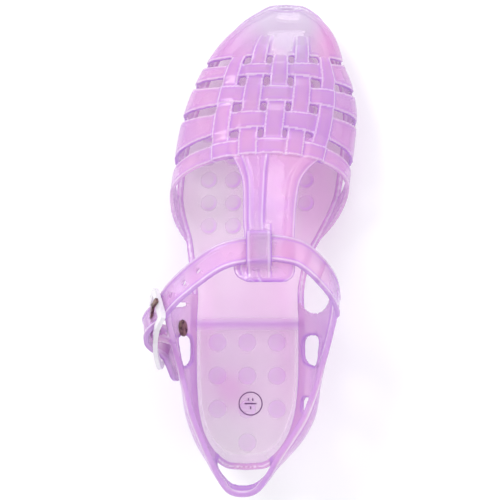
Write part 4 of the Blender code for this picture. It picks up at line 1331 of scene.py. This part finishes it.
def ring_on_bar(name, first, last, inner, outer, sides=28):
    """Ring round the buckle's middle bar between two places across the strap."""
    centre, ahead, outward, sideways = buckle_frame_axes()
    rings = []
    for k in range(sides):
        angle = 2.0 * math.pi * k / sides
        spoke = ahead * math.cos(angle) + outward * math.sin(angle)
        corners = ((first, inner), (last, inner), (last, outer), (first, outer))
        rings.append([centre + sideways * side + spoke * reach for side, reach in corners])
    return loft(name, rings, closed_path=True)


def tab_plate():
    """Tab from the lateral cage to the buckle's middle bar: a plate, two arms and two ears."""
    centre, _, _, sideways = buckle_frame_axes()
    root = cage_spot(*tab_place)
    span = centre - root
    along = (span - sideways * span.dot(sideways)).normalized()
    thick = sideways.cross(along).normalized()
    half = 0.5 * tab_width
    slot = 0.5 * prong_width + 2.0 * clearance
    reach = span.dot(along)
    stop = reach - prong_ring_radius() - 2.0 * clearance
    base = centre - along * reach

    def box(name, first, last, left, right, flare=1.0):
        loops = []
        for at, wide in ((first, flare), (0.5 * (first + last), 1.0), (last, 1.0)):
            middle = base + along * at
            loops.append([
                middle + sideways * side * wide + thick * (up * 0.5 * tab_thickness)
                for side, up in ((left, 1), (right, 1), (right, -1), (left, -1))
            ])
        return loft(name, loops)

    plain = np.array([tuple(base + along * reach * k / 12.0) for k in range(13)])
    keep_marks(plain, np.zeros(13), np.full(13, tab_deep))
    pieces = [box("tab", -tab_sink, stop, -half, half, 1.15)]
    arm_end = reach - sleeve_radius() * 0.75
    for left, right in ((-half, -slot), (slot, half)):
        pieces.append(box("arm", stop - 0.001, arm_end, left, right))
        pieces.append(ring_on_bar("ear", left, right, middle_bar_radius + clearance, sleeve_radius()))
    return pieces


def shade_value(item, name, values):
    """Store one value per vertex for the material to read."""
    attribute = item.data.attributes.new(name, "FLOAT", "POINT")
    attribute.data.foreach_set("value", np.asarray(values, np.float32))


def vertex_arrays(item):
    """Places and normals of a piece's vertices."""
    count = len(item.data.vertices)
    spots = np.empty(count * 3, np.float32)
    item.data.vertices.foreach_get("co", spots)
    normals = np.empty(count * 3, np.float32)
    item.data.vertex_normals.foreach_get("vector", normals)
    return spots.reshape(-1, 3), normals.reshape(-1, 3)


def fill_grid(channels, finer):
    """Put evenly spread spots between the points of a grid, with every channel carried along."""
    rows, columns = channels.shape[:2]
    down = np.linspace(0.0, rows - 1.0, (rows - 1) * finer + 1)
    over = np.linspace(0.0, columns - 1.0, (columns - 1) * finer + 1)
    r = np.minimum(down.astype(int), rows - 2)
    c = np.minimum(over.astype(int), columns - 2)
    fr = (down - r)[:, None, None]
    fc = (over - c)[None, :, None]
    upper_rows = channels[r][:, c] * (1.0 - fc) + channels[r][:, c + 1] * fc
    lower_rows = channels[r + 1][:, c] * (1.0 - fc) + channels[r + 1][:, c + 1] * fc
    return (upper_rows * (1.0 - fr) + lower_rows * fr).reshape(-1, channels.shape[2])


def spots_on(grid, finer, *channels):
    """Fine spots on a grid of points, each channel given per point, per row or per column."""
    rows, columns = grid.shape[:2]
    carried = []
    for values, spread in channels:
        if spread == "rows":
            values = np.repeat(values[:, None], columns, axis=1)
        if spread == "columns":
            values = np.repeat(values[None, :], rows, axis=0)
        carried.append(values)
    return fill_grid(np.dstack([grid, *carried]), finer)


def painted(distance, line):
    """Strength of a soft painted line at a distance from the edge that it follows."""
    place, width, strength = line
    return strength * np.exp(-(((distance - place) / width) ** 2))


MARKS = []


def keep_marks(spots, shine, deep):
    """Remember painted spots of a piece until the pieces are fused."""
    MARKS.append(np.column_stack([spots, shine, deep]))


def marks_near(item):
    """Painted values of the spots that lie nearest to each vertex, then forget them."""
    spots, _ = vertex_arrays(item)
    marks = np.concatenate(MARKS)
    MARKS.clear()
    tree = kdtree.KDTree(len(marks))
    for k, mark in enumerate(marks):
        tree.insert(mark[:3], k)
    tree.balance()
    nearest = np.array([tree.find(spot)[1] for spot in spots])
    return marks[nearest, 3], marks[nearest, 4]


def patches(table, share, across):
    """Sum of soft patches: each row gives a place, half sizes and a strength."""
    total = np.zeros(len(share))
    for at, side, length, width, strength in table:
        away = ((share - at) * sole_length / length) ** 2
        total += strength * np.exp(-away - ((across - side) / width) ** 2)
    return total


UPPER_MILKY = (
    (0.985, 0.012, 0.020, 0.024, 0.95),
    (0.945, 0.024, 0.016, 0.014, 0.60),
    (0.900, 0.022, 0.014, 0.014, 0.35),
    (0.480, 0.006, 0.016, 0.006, 0.55),
    (0.800, 0.012, 0.014, 0.016, 0.30),
)
UPPER_BLUSH = (
    (0.925, 0.043, 0.014, 0.006, 0.80),
    (0.900, -0.014, 0.016, 0.010, 0.50),
    (0.790, -0.036, 0.024, 0.012, 0.45),
    (0.640, 0.052, 0.030, 0.010, 0.60),
    (0.200, 0.042, 0.020, 0.010, 0.45),
    (0.250, -0.046, 0.020, 0.010, 0.45),
)
SOLE_MILKY = (
    (0.080, -0.012, 0.020, 0.013, 0.90),
    (0.060, 0.008, 0.012, 0.016, 0.50),
    (0.585, -0.020, 0.020, 0.010, 0.85),
    (0.500, -0.008, 0.012, 0.014, 0.45),
    (0.240, 0.004, 0.014, 0.012, 0.40),
)
SOLE_BLUSH = (
    (0.800, 0.008, 0.040, 0.036, 0.55),
    (0.590, 0.038, 0.032, 0.012, 1.00),
    (0.480, 0.036, 0.018, 0.010, 0.60),
    (0.600, -0.042, 0.026, 0.006, 0.50),
    (0.175, -0.013, 0.007, 0.006, 0.75),
    (0.150, -0.008, 0.010, 0.008, 0.55),
    (0.250, 0.020, 0.030, 0.005, 0.50),
    (0.300, -0.024, 0.040, 0.005, 0.60),
    (0.380, 0.018, 0.014, 0.008, 0.35),
    (0.400, 0.000, 0.050, 0.040, 0.40),
    (0.225, 0.004, 0.050, 0.030, 0.16),
)


def paint(item, milky, blush, shine, deep):
    """Values for the jelly: pearl where it is milky, blush, deep where walls stand up (painted shade)
    together with the painted deep lines, and shine on edges (painted highlights).
    """
    spots, normals = vertex_arrays(item)
    share = (spots[:, 1] - SHIFT.y) / sole_length
    across = spots[:, 0] - SHIFT.x
    # Painted shade: the more upright a wall, the deeper its tone, as where one looks along it through
    # more jelly.
    steep_shade = (1.0 - np.abs(normals[:, 2])) ** 1.5 * 0.60
    shade_value(item, "pearl", np.clip(patches(milky, share, across), 0.0, 1.0))
    shade_value(item, "blush", np.clip(patches(blush, share, across), 0.0, 1.0))
    shade_value(item, "deep", np.clip(steep_shade + deep, 0.0, 1.0))
    shade_value(item, "shine", np.clip(shine, 0.0, 1.0))


class Shader:
    """Short way to wire a node material."""

    def __init__(self, name):
        self.material = bpy.data.materials.new(name)
        self.material.use_nodes = True
        self.tree = self.material.node_tree
        self.principled = self.tree.nodes["Principled BSDF"]

    def node(self, kind, **values):
        made = self.tree.nodes.new(kind)
        for key, value in values.items():
            setattr(made, key, value)
        return made

    def link(self, source, target):
        self.tree.links.new(source, target)

    def set(self, **values):
        for key, value in values.items():
            self.principled.inputs[key.replace("_", " ")].default_value = value

    def noise(self, scale, detail=3.0, roughness=0.5):
        spots = self.node("ShaderNodeTexCoord")
        made = self.node("ShaderNodeTexNoise")
        made.inputs["Scale"].default_value = scale
        made.inputs["Detail"].default_value = detail
        made.inputs["Roughness"].default_value = roughness
        self.link(spots.outputs["Object"], made.inputs["Vector"])
        return made.outputs["Fac"]

    def mix(self, factor, first, second):
        made = self.node("ShaderNodeMix", data_type="RGBA")
        self.feed(factor, made.inputs[0])
        self.feed(first, made.inputs[6])
        self.feed(second, made.inputs[7])
        return made.outputs[2]

    def spread(self, value, low, high, to_low, to_high):
        made = self.node("ShaderNodeMapRange")
        self.feed(value, made.inputs["Value"])
        made.inputs["From Min"].default_value = low
        made.inputs["From Max"].default_value = high
        made.inputs["To Min"].default_value = to_low
        made.inputs["To Max"].default_value = to_high
        return made.outputs["Result"]

    def value(self, name):
        made = self.node("ShaderNodeAttribute", attribute_name=name)
        return made.outputs["Fac"]

    def total(self, first, second):
        made = self.node("ShaderNodeMath", operation="ADD", use_clamp=True)
        self.link(self.value(first), made.inputs[0])
        self.link(self.value(second), made.inputs[1])
        return made.outputs[0]

    def feed(self, source, target):
        if isinstance(source, bpy.types.NodeSocket):
            self.link(source, target)
        elif isinstance(source, (int, float)):
            target.default_value = source
        else:
            target.default_value = (*tuple(source)[:3], 1.0)

    def bump(self, height, strength, distance):
        made = self.node("ShaderNodeBump")
        made.inputs["Strength"].default_value = strength
        made.inputs["Distance"].default_value = distance
        self.link(height, made.inputs["Height"])
        self.link(made.outputs["Normal"], self.principled.inputs["Normal"])


def jelly_material(name, looks, clearness, cover, tones):
    """Soft translucent PVC: patchy lilac, milky where painted pearl, rosy where painted blush, deeper
    where painted deep, which is partly painted shade and partly thicker jelly and nubs seen through, and
    pale where painted shine, which is painted highlights.
    """
    shader = Shader(name)
    patchy = shader.spread(shader.noise(30.0, 2.0), 0.38, 0.62, 0.0, 1.0)
    tone = shader.mix(patchy, tones[0], tones[1])
    milky = shader.mix(shader.value("pearl"), tone, tones[3])
    blush = shader.mix(shader.value("blush"), milky, tones[4])
    # Deep tone: painted shade, with thicker jelly and the nubs seen through.
    deep = shader.mix(shader.value("deep"), blush, tones[2])
    # Shine colour: painted highlights along the edges.
    bright = shader.mix(shader.value("shine"), deep, looks.shine)
    shader.link(bright, shader.principled.inputs["Base Color"])
    gloss = shader.spread(shader.noise(160.0, 2.0), 0.3, 0.7, 0.10, 0.20)
    shader.link(gloss, shader.principled.inputs["Roughness"])
    hidden = shader.spread(shader.total("deep", "shine"), 0.0, 1.0, cover, 0.80)
    shader.link(hidden, shader.principled.inputs["Alpha"])
    shader.set(Transmission_Weight=clearness, IOR=1.46, Coat_Weight=0.45, Coat_Roughness=0.06)
    shader.bump(shader.noise(260.0, 2.0), 0.05, 0.0006)
    return shader.material


def upper_material(looks):
    """The upper's jelly, made once."""
    tones = (looks.lilac, looks.pink, looks.violet, looks.pearl, looks.blush)
    return bpy.data.materials.get("jelly pvc") or jelly_material(
        "jelly pvc", looks, looks.clearness, looks.cover, tones
    )


def sole_material(looks):
    """The sole's paler jelly."""
    tones = (looks.sole_lilac, looks.sole_pink, looks.sole_violet, looks.sole_pearl, looks.sole_blush)
    return jelly_material("sole pvc", looks, looks.sole_clearness, looks.sole_cover, tones)


def clear_material(looks):
    """Hard clear plastic of the buckle frame."""
    shader = Shader("clear frame plastic")
    tone = shader.mix(shader.noise(90.0), looks.clear, (0.97, 0.96, 0.99))
    shader.link(tone, shader.principled.inputs["Base Color"])
    gloss = shader.spread(shader.noise(200.0), 0.3, 0.7, 0.06, 0.14)
    shader.link(gloss, shader.principled.inputs["Roughness"])
    shader.set(Transmission_Weight=0.30, Alpha=0.85, IOR=1.49)
    return shader.material


def bronze_material(looks):
    """Dark worn bronze of the prong and the rivet."""
    shader = Shader("dark bronze")
    worn = shader.spread(shader.noise(420.0, 4.0), 0.35, 0.7, 0.0, 1.0)
    tone = shader.mix(worn, looks.bronze, (0.34, 0.23, 0.19))
    shader.link(tone, shader.principled.inputs["Base Color"])
    shader.link(shader.spread(worn, 0.0, 1.0, 0.24, 0.42), shader.principled.inputs["Roughness"])
    shader.set(Metallic=1.0)
    shader.bump(shader.noise(900.0, 2.0), 0.10, 0.0002)
    return shader.material


def ink_material():
    """Dark violet ink of the heel seat's mark."""
    shader = Shader("stamp ink")
    tone = shader.mix(shader.noise(700.0), (0.105, 0.035, 0.125), (0.16, 0.06, 0.19))
    shader.link(tone, shader.principled.inputs["Base Color"])
    gloss = shader.spread(shader.noise(500.0), 0.3, 0.7, 0.35, 0.55)
    shader.link(gloss, shader.principled.inputs["Roughness"])
    return shader.material


def floor_material(looks):
    """Matt pale floor."""
    shader = Shader("pale floor")
    tone = shader.mix(shader.noise(3.0), looks.floor, (0.93, 0.93, 0.94))
    shader.link(tone, shader.principled.inputs["Base Color"])
    shader.set(Roughness=0.85)
    return shader.material


def carry(item, node, material):
    """Put a finished piece on the body in place of its CAD node."""
    item.data.materials.clear()
    item.data.materials.append(material)
    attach(item, "root")
    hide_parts(node)


def colour(name, description, red, green, blue):
    """Colour that a user can change."""
    return bpy.props.FloatVectorProperty(
        name=name, description=description, subtype="COLOR", default=(red, green, blue), min=0, max=1)


def factor(name, description, default):
    """Share from 0 to 1 that a user can change."""
    return bpy.props.FloatProperty(
        name=name, description=description, subtype="FACTOR", default=default, min=0, max=1)


def distance(name, description, default, **ends):
    """Length that a user can change."""
    return bpy.props.FloatProperty(
        name=name, description=description, unit="LENGTH", default=default, **ends)


class SandalLooks(bpy.types.PropertyGroup):
    """Colours and finish of the sandal."""

    lilac: colour("Lilac", "Main colour of the upper", 0.74, 0.40, 0.80)
    pink: colour("Pink violet", "Warmer patches of the upper", 0.86, 0.45, 0.77)
    # Violet fills the upper's deep tone: painted shade on upright walls and along edges, and thicker
    # jelly on raised strips.
    violet: colour("Violet", "Steep walls of the upper, seen through more jelly", 0.48, 0.19, 0.71)
    sole_lilac: colour("Sole lilac", "Main colour of the sole", 0.98, 0.84, 0.97)
    sole_pink: colour("Sole pink", "Warmer patches of the sole", 1.00, 0.81, 0.94)
    # Sole violet fills the sole's deep tone: painted shade on upright walls and on one side of each ball
    # nub, and the nubs and heel breast seen through the footbed.
    sole_violet: colour("Sole violet", "Steep places and the nubs under the sole", 0.62, 0.28, 0.78)
    blush: colour("Blush", "Rosy patches of the upper", 0.84, 0.33, 0.72)
    sole_pearl: colour("Sole pearl", "Milky patches of the sole", 0.98, 0.95, 0.95)
    sole_blush: colour("Sole blush", "Rosy patches of the sole", 0.94, 0.52, 0.88)
    pearl: colour("Pearl", "Milky patches of the cap and the keeper", 0.66, 0.57, 0.72)
    # Shine is a painted highlight along the rounded edges.
    shine: colour("Shine", "Pale lines along the edges", 0.97, 0.95, 0.98)
    clear: colour("Clear plastic", "Buckle frame", 0.93, 0.91, 0.94)
    bronze: colour("Bronze", "Prong and rivet", 0.10, 0.06, 0.06)
    floor: colour("Floor", "Colour of the floor", 0.97, 0.97, 0.97)
    clearness: factor("Clearness", "Share of light that passes through the upper", 0.30)
    sole_clearness: factor("Sole clearness", "Share of light that passes through the sole", 0.30)
    cover: factor("Cover", "How much one skin of the upper hides what lies behind it", 0.48)
    sole_cover: factor("Sole cover", "How much one skin of the sole hides what lies behind it", 0.36)


class SandalDetail(bpy.types.PropertyGroup):
    """How finely the sandal is made."""

    upper_voxel: distance("Upper step", "Grain of the fused upper", 0.00066, min=0.0004, max=0.003)
    sole_voxel: distance("Sole step", "Grain of the fused sole", 0.00085, min=0.0004, max=0.003)
    strap_voxel: distance("Strap step", "Grain of the ankle strap", 0.00045, min=0.0003, max=0.002)
    weave_steps: bpy.props.IntProperty(
        name="Weave steps", description="Steps across each strip of the weave", default=6, min=2, max=12)


class SandalCamera(bpy.types.PropertyGroup):
    """Where the picture is taken from."""

    height: distance("Camera height", "Height above the floor", 0.700)
    along: distance("Camera along", "Distance from the sole's heel end", 0.1163)
    across: distance("Camera across", "Distance from the heel's middle line", 0.0)
    lens: bpy.props.FloatProperty(name="Lens", description="Focal length in millimetres", default=91.2)


def finish_upper(piece, node, looks):
    """Paint a fused piece of the upper's jelly and put it in its node's place."""
    shine, deep = marks_near(piece)
    settle(piece)
    paint(piece, UPPER_MILKY, UPPER_BLUSH, shine, deep)
    carry(piece, node, upper_material(looks))


class SANDAL_OT_upper(bpy.types.Operator):
    """Make the moulded upper: toe cap, weave, bar, keeper, heel cage, rim and tab"""

    bl_idname = "sandal.upper"
    bl_label = "Upper"

    def execute(self, context):
        detail = context.scene.sandal_detail
        looks = context.scene.sandal_looks
        shares = fine_sole_shares(sole_row_count)
        woven = [vamp_wall(detail.weave_steps), tbar_wall(), keeper_loop(), rim_ring(shares, True)]
        finish_upper(join_and_melt(woven, "woven_front", detail.upper_voxel), "upper", looks)
        cage = [cage_wall(), rim_ring(shares, False)] + tab_plate()
        cage.append(loft("strap root", strap_loops(0.0, strap_root_end, root_loop_count)))
        finish_upper(join_and_melt(cage, "heel_cage", detail.upper_voxel), "upper", looks)
        return {"FINISHED"}


def sole_body(shares):
    """Unit sole from its outline, with rounded steps down the side."""

    def draft(share):
        block = 1.0 - smooth(heel_share, heel_share + 0.02, share)
        return sole_draft + (heel_draft - sole_draft) * block

    lip = 0.0006
    rings = (
        (lambda s: -lip, lambda s: footbed(s)),
        (lambda s: -lip * 0.3, lambda s: footbed(s) - lip * 0.3),
        (lambda s: 0.0, lambda s: footbed(s) - lip),
        (lambda s: 0.0, lambda s: footbed(s) - flange_height + lip),
        (lambda s: -flange_step * 0.5, lambda s: footbed(s) - flange_height),
        (lambda s: -flange_step, lambda s: footbed(s) - flange_height - flange_step * 0.6),
        (lambda s: -draft(s), lambda s: underside(s) + sole_chamfer),
        (lambda s: -draft(s) - sole_chamfer * 0.3, lambda s: underside(s) + sole_chamfer * 0.3),
        (lambda s: -draft(s) - sole_chamfer, lambda s: underside(s)),
        (lambda s: -draft(s) - sole_chamfer - tread_rim, lambda s: underside(s)),
        (lambda s: -draft(s) - sole_chamfer * 2.0 - tread_rim, lambda s: underside(s) + tread_recess(s)),
    )
    loops = []
    for offset, height in rings:
        flat, at = outline_loop(shares, offset)
        loops.append([Vector((p.x, p.y, height(s))) for p, s in zip(flat, at)])
    size = len(loops[0])
    points = [point for loop in loops for point in loop]
    faces = []
    for row in range(len(loops) - 1):
        for k in range(size):
            n = (k + 1) % size
            faces.append((row * size + k, (row + 1) * size + k, (row + 1) * size + n, row * size + n))
    for loop_row, columns, height in (
        (0, 24, footbed),
        (len(rings) - 1, 16, lambda s: underside(s) + tread_recess(s)),
    ):
        base = loop_row * size
        count = len(shares)
        grid = []
        for k in range(count):
            left = base + k
            right = base + 2 * count - k
            row = [left]
            for c in range(1, columns):
                spot = points[left].lerp(points[right], c / columns)
                points.append(Vector((spot.x, spot.y, height(shares[k]))))
                row.append(len(points) - 1)
            grid.append(row + [right])
        for k in range(count - 1):
            for c in range(columns):
                faces.append((grid[k][c], grid[k + 1][c], grid[k + 1][c + 1], grid[k][c + 1]))
        for c in range(columns):
            faces.append((grid[-1][c], base + count, grid[-1][c + 1]))
            faces.append((grid[0][c], grid[0][c + 1], base + 2 * count + 1))
    return new_object("sole body", points, faces)


# Rounded foot of a nub: height over the tread line and share of its radius.
NUB_STEPS = ((tread_depth * 2.5, 1.0), (tread_depth * 0.3, 1.0), (0.0002, 0.97), (0.0, 0.90))


def tread_nubs():
    """Round nubs under the ball and the heel."""
    pieces = []
    for share, across, radius in nub_spots():
        loops = []
        for height, size in NUB_STEPS:
            loops.append([
                Vector((
                    across + radius * size * math.cos(a),
                    share * sole_length + radius * size * math.sin(a),
                    underside(share + radius * size * math.sin(a) / sole_length) + height,
                ))
                for a in (2.0 * math.pi * k / 28 for k in range(28))
            ])
        pieces.append(loft("nub", loops))
    return pieces


def sole_marks(item):
    """Nubs and heel breast as they show through the footbed, paler where the seat is milky."""
    spots, normals = vertex_arrays(item)
    share = spots[:, 1] / sole_length
    facing_up = ease(0.5, 0.8, normals[:, 2])
    clear = 1.0 - milky_cover * np.clip(patches(SOLE_MILKY, share, spots[:, 0]), 0.0, 1.0)
    deep = np.zeros(len(spots))
    for at, across, radius in nub_spots():
        ahead = heel_nub_seen_ahead if at < heel_share else 0.0
        distance = np.hypot(spots[:, 0] - across, spots[:, 1] - at * sole_length - ahead)
        body = 1.0 - ease(radius * 0.85, radius * 1.10, distance)
        rim = painted(distance, (radius * 0.92, radius * 0.20, 1.0))
        if at < heel_share:
            disc, edge = HEEL_NUB_DEEP
        else:
            disc, edge = BALL_NUB_DEEP
            # Painted shade on one side of each ball nub's edge.
            shaded_side = spots[:, 0] - across + at * sole_length - spots[:, 1]
            rim *= 0.5 + 0.35 * shaded_side / np.maximum(distance, 0.0005)
        deep = np.maximum(deep, disc * body + edge * rim)
    return np.maximum(deep * clear, painted(spots[:, 1], BREAST_DEEP)) * facing_up


class SANDAL_OT_sole(bpy.types.Operator):
    """Make the unit sole with its block heel, waist, toe spring and tread"""

    bl_idname = "sandal.sole"
    bl_label = "Sole"

    def execute(self, context):
        detail = context.scene.sandal_detail
        pieces = [sole_body(fine_sole_shares(sole_row_count))] + tread_nubs()
        sole = join_and_melt(pieces, "unit_sole", detail.sole_voxel)
        deep = sole_marks(sole)
        settle(sole)
        paint(sole, SOLE_MILKY, SOLE_BLUSH, np.zeros(len(deep)), deep)
        carry(sole, "outsole", sole_material(context.scene.sandal_looks))
        return {"FINISHED"}


class SANDAL_OT_strap(bpy.types.Operator):
    """Make the ankle strap with edge ribs, pin holes and a round tail"""

    bl_idname = "sandal.strap"
    bl_label = "Ankle strap"

    def execute(self, context):
        detail = context.scene.sandal_detail
        start = strap_root_end - strap_overlap
        strap = loft("strap", strap_loops(start, route_length, strap_loop_count))
        for hole in range(strap_hole_count):
            spot = buckle_place - 0.5 * buckle_length - strap_hole_pitch * (hole + 0.55)
            cut(strap, pin_hole(spot, strap_hole_radius))
        strap = join_and_melt([strap], "ankle_strap_looks", detail.strap_voxel)
        finish_upper(strap, "ankle_strap", context.scene.sandal_looks)
        return {"FINISHED"}


class SANDAL_OT_fittings(bpy.types.Operator):
    """Finish the buckle frame, the prong and the rivet"""

    bl_idname = "sandal.fittings"
    bl_label = "Buckle and rivet"

    def execute(self, context):
        looks = context.scene.sandal_looks
        clear = clear_material(looks)
        bronze = bronze_material(looks)
        for node, material, width in (
            ("buckle_frame", clear, 0.0005),
            ("buckle_prong", bronze, 0.0002),
            ("buckle_rivet", bronze, 0.0002),
        ):
            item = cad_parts[node]
            item.data.materials.clear()
            item.data.materials.append(material)
            bevel = item.modifiers.new("Round edges", "BEVEL")
            bevel.width = width
            bevel.segments = 3
            bevel.limit_method = "ANGLE"
            bevel.angle_limit = math.radians(35.0)
            item.data.shade_smooth()
        return {"FINISHED"}


class SANDAL_OT_stamp(bpy.types.Operator):
    """Make the printed ring, bar and ticks on the heel seat, with no digits"""

    bl_idname = "sandal.stamp"
    bl_label = "Heel seat mark"

    def execute(self, context):
        centre = Vector((stamp_across, stamp_along, seat_height))
        pieces = [
            flat_ring("ring", centre, stamp_radius, stamp_line),
            flat_bar("bar", centre, stamp_radius * 1.05, stamp_line * 1.2),
        ]
        for across, along in STAMP_TICKS:
            spot = centre + Vector((across * stamp_radius, along * stamp_radius, 0.0))
            pieces.append(flat_bar("tick", spot, stamp_line * 1.2, stamp_line * 2.6))
        mark = joined(pieces, "heel_seat_mark")
        settle(mark)
        mark.data.materials.append(ink_material())
        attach(mark, "root")
        return {"FINISHED"}


def flat_ring(name, centre, radius, width, sides=48):
    """Low ring that stands on the heel seat."""
    inner = max(radius - 0.5 * width, 0.00002)
    outer = radius + 0.5 * width
    rings = []
    for k in range(sides):
        a = 2.0 * math.pi * k / sides
        spoke = Vector((math.cos(a), math.sin(a), 0.0))
        rings.append([
            centre + spoke * reach + Vector((0, 0, up * stamp_height))
            for reach, up in ((inner, -1), (outer, -1), (outer, 1), (inner, 1))
        ])
    return loft(name, rings, closed_path=True)


def flat_bar(name, centre, length, width):
    """Low straight bar on the heel seat."""
    loops = []
    for end in (-0.5, 0.5):
        middle = centre + Vector((end * length, 0.0, 0.0))
        loops.append([
            middle + Vector((0.0, side * 0.5 * width, up * stamp_height))
            for side, up in ((-1, -1), (1, -1), (1, 1), (-1, 1))
        ])
    return loft(name, loops)


def area_light(name, spot, size, power, target):
    """Square lamp that faces the target."""
    data = bpy.data.lights.new(name, "AREA")
    data.energy = power
    data.size = size
    item = bpy.data.objects.new(name, data)
    item.location = spot
    item.rotation_euler = (target - Vector(spot)).to_track_quat("-Z", "Y").to_euler()
    bpy.context.scene.collection.objects.link(item)


class SANDAL_OT_stage(bpy.types.Operator):
    """Make the pale floor, the soft lights and the camera"""

    bl_idname = "sandal.stage"
    bl_label = "Stage"

    def execute(self, context):
        scene = context.scene
        view = scene.sandal_camera
        corners = [(x * floor_half, y * floor_half, -floor_gap) for x, y in FLOOR_CORNERS]
        floor = new_object("floor", corners, [(0, 1, 2, 3)])
        floor.data.materials.append(floor_material(scene.sandal_looks))
        target = Vector((SHIFT.x, SHIFT.y + 0.5 * sole_length, 0.03))
        for name, spot, size, power in LIGHTS:
            area_light(name, spot, size, power, target)
        world = bpy.data.worlds.new("soft room")
        world.use_nodes = True
        room = world.node_tree.nodes["Background"]
        room.inputs["Color"].default_value = room_colour
        room.inputs["Strength"].default_value = room_strength
        scene.world = world
        camera = bpy.data.cameras.new("camera")
        camera.lens = view.lens
        item = bpy.data.objects.new("camera", camera)
        item.location = (SHIFT.x + view.across, SHIFT.y + view.along, view.height)
        scene.collection.objects.link(item)
        scene.camera = item
        scene.view_settings.view_transform = "Standard"
        return {"FINISHED"}


class SANDAL_PT_panel(bpy.types.Panel):
    """Lists the sandal's pieces and finishes"""

    bl_idname = "SANDAL_PT_panel"
    bl_label = "Jelly sandal"
    bl_space_type = "VIEW_3D"
    bl_region_type = "UI"
    bl_category = "Sandal"

    def draw(self, context):
        for operator in OPERATORS:
            self.layout.operator(operator.bl_idname)
        for group in (getattr(context.scene, name) for name in GROUPS):
            for name in type(group).__annotations__:
                self.layout.prop(group, name)


OPERATORS = (
    SANDAL_OT_sole,
    SANDAL_OT_upper,
    SANDAL_OT_strap,
    SANDAL_OT_fittings,
    SANDAL_OT_stamp,
    SANDAL_OT_stage,
)
GROUPS = {"sandal_looks": SandalLooks, "sandal_detail": SandalDetail, "sandal_camera": SandalCamera}
CLASSES = tuple(GROUPS.values()) + OPERATORS + (SANDAL_PT_panel,)


def register():
    """Add the classes and the groups of sizes and colours."""
    for made in CLASSES:
        bpy.utils.register_class(made)
    for name, group in GROUPS.items():
        setattr(bpy.types.Scene, name, bpy.props.PointerProperty(type=group))


def unregister():
    """Take the classes and the groups away again."""
    for name in GROUPS:
        delattr(bpy.types.Scene, name)
    for made in reversed(CLASSES):
        bpy.utils.unregister_class(made)


def main():
    """Make every piece and the stage."""
    register()
    bpy.ops.sandal.sole()
    bpy.ops.sandal.upper()
    bpy.ops.sandal.strap()
    bpy.ops.sandal.fittings()
    bpy.ops.sandal.stamp()
    bpy.ops.sandal.stage()


if __name__ == "__main__":
    main()
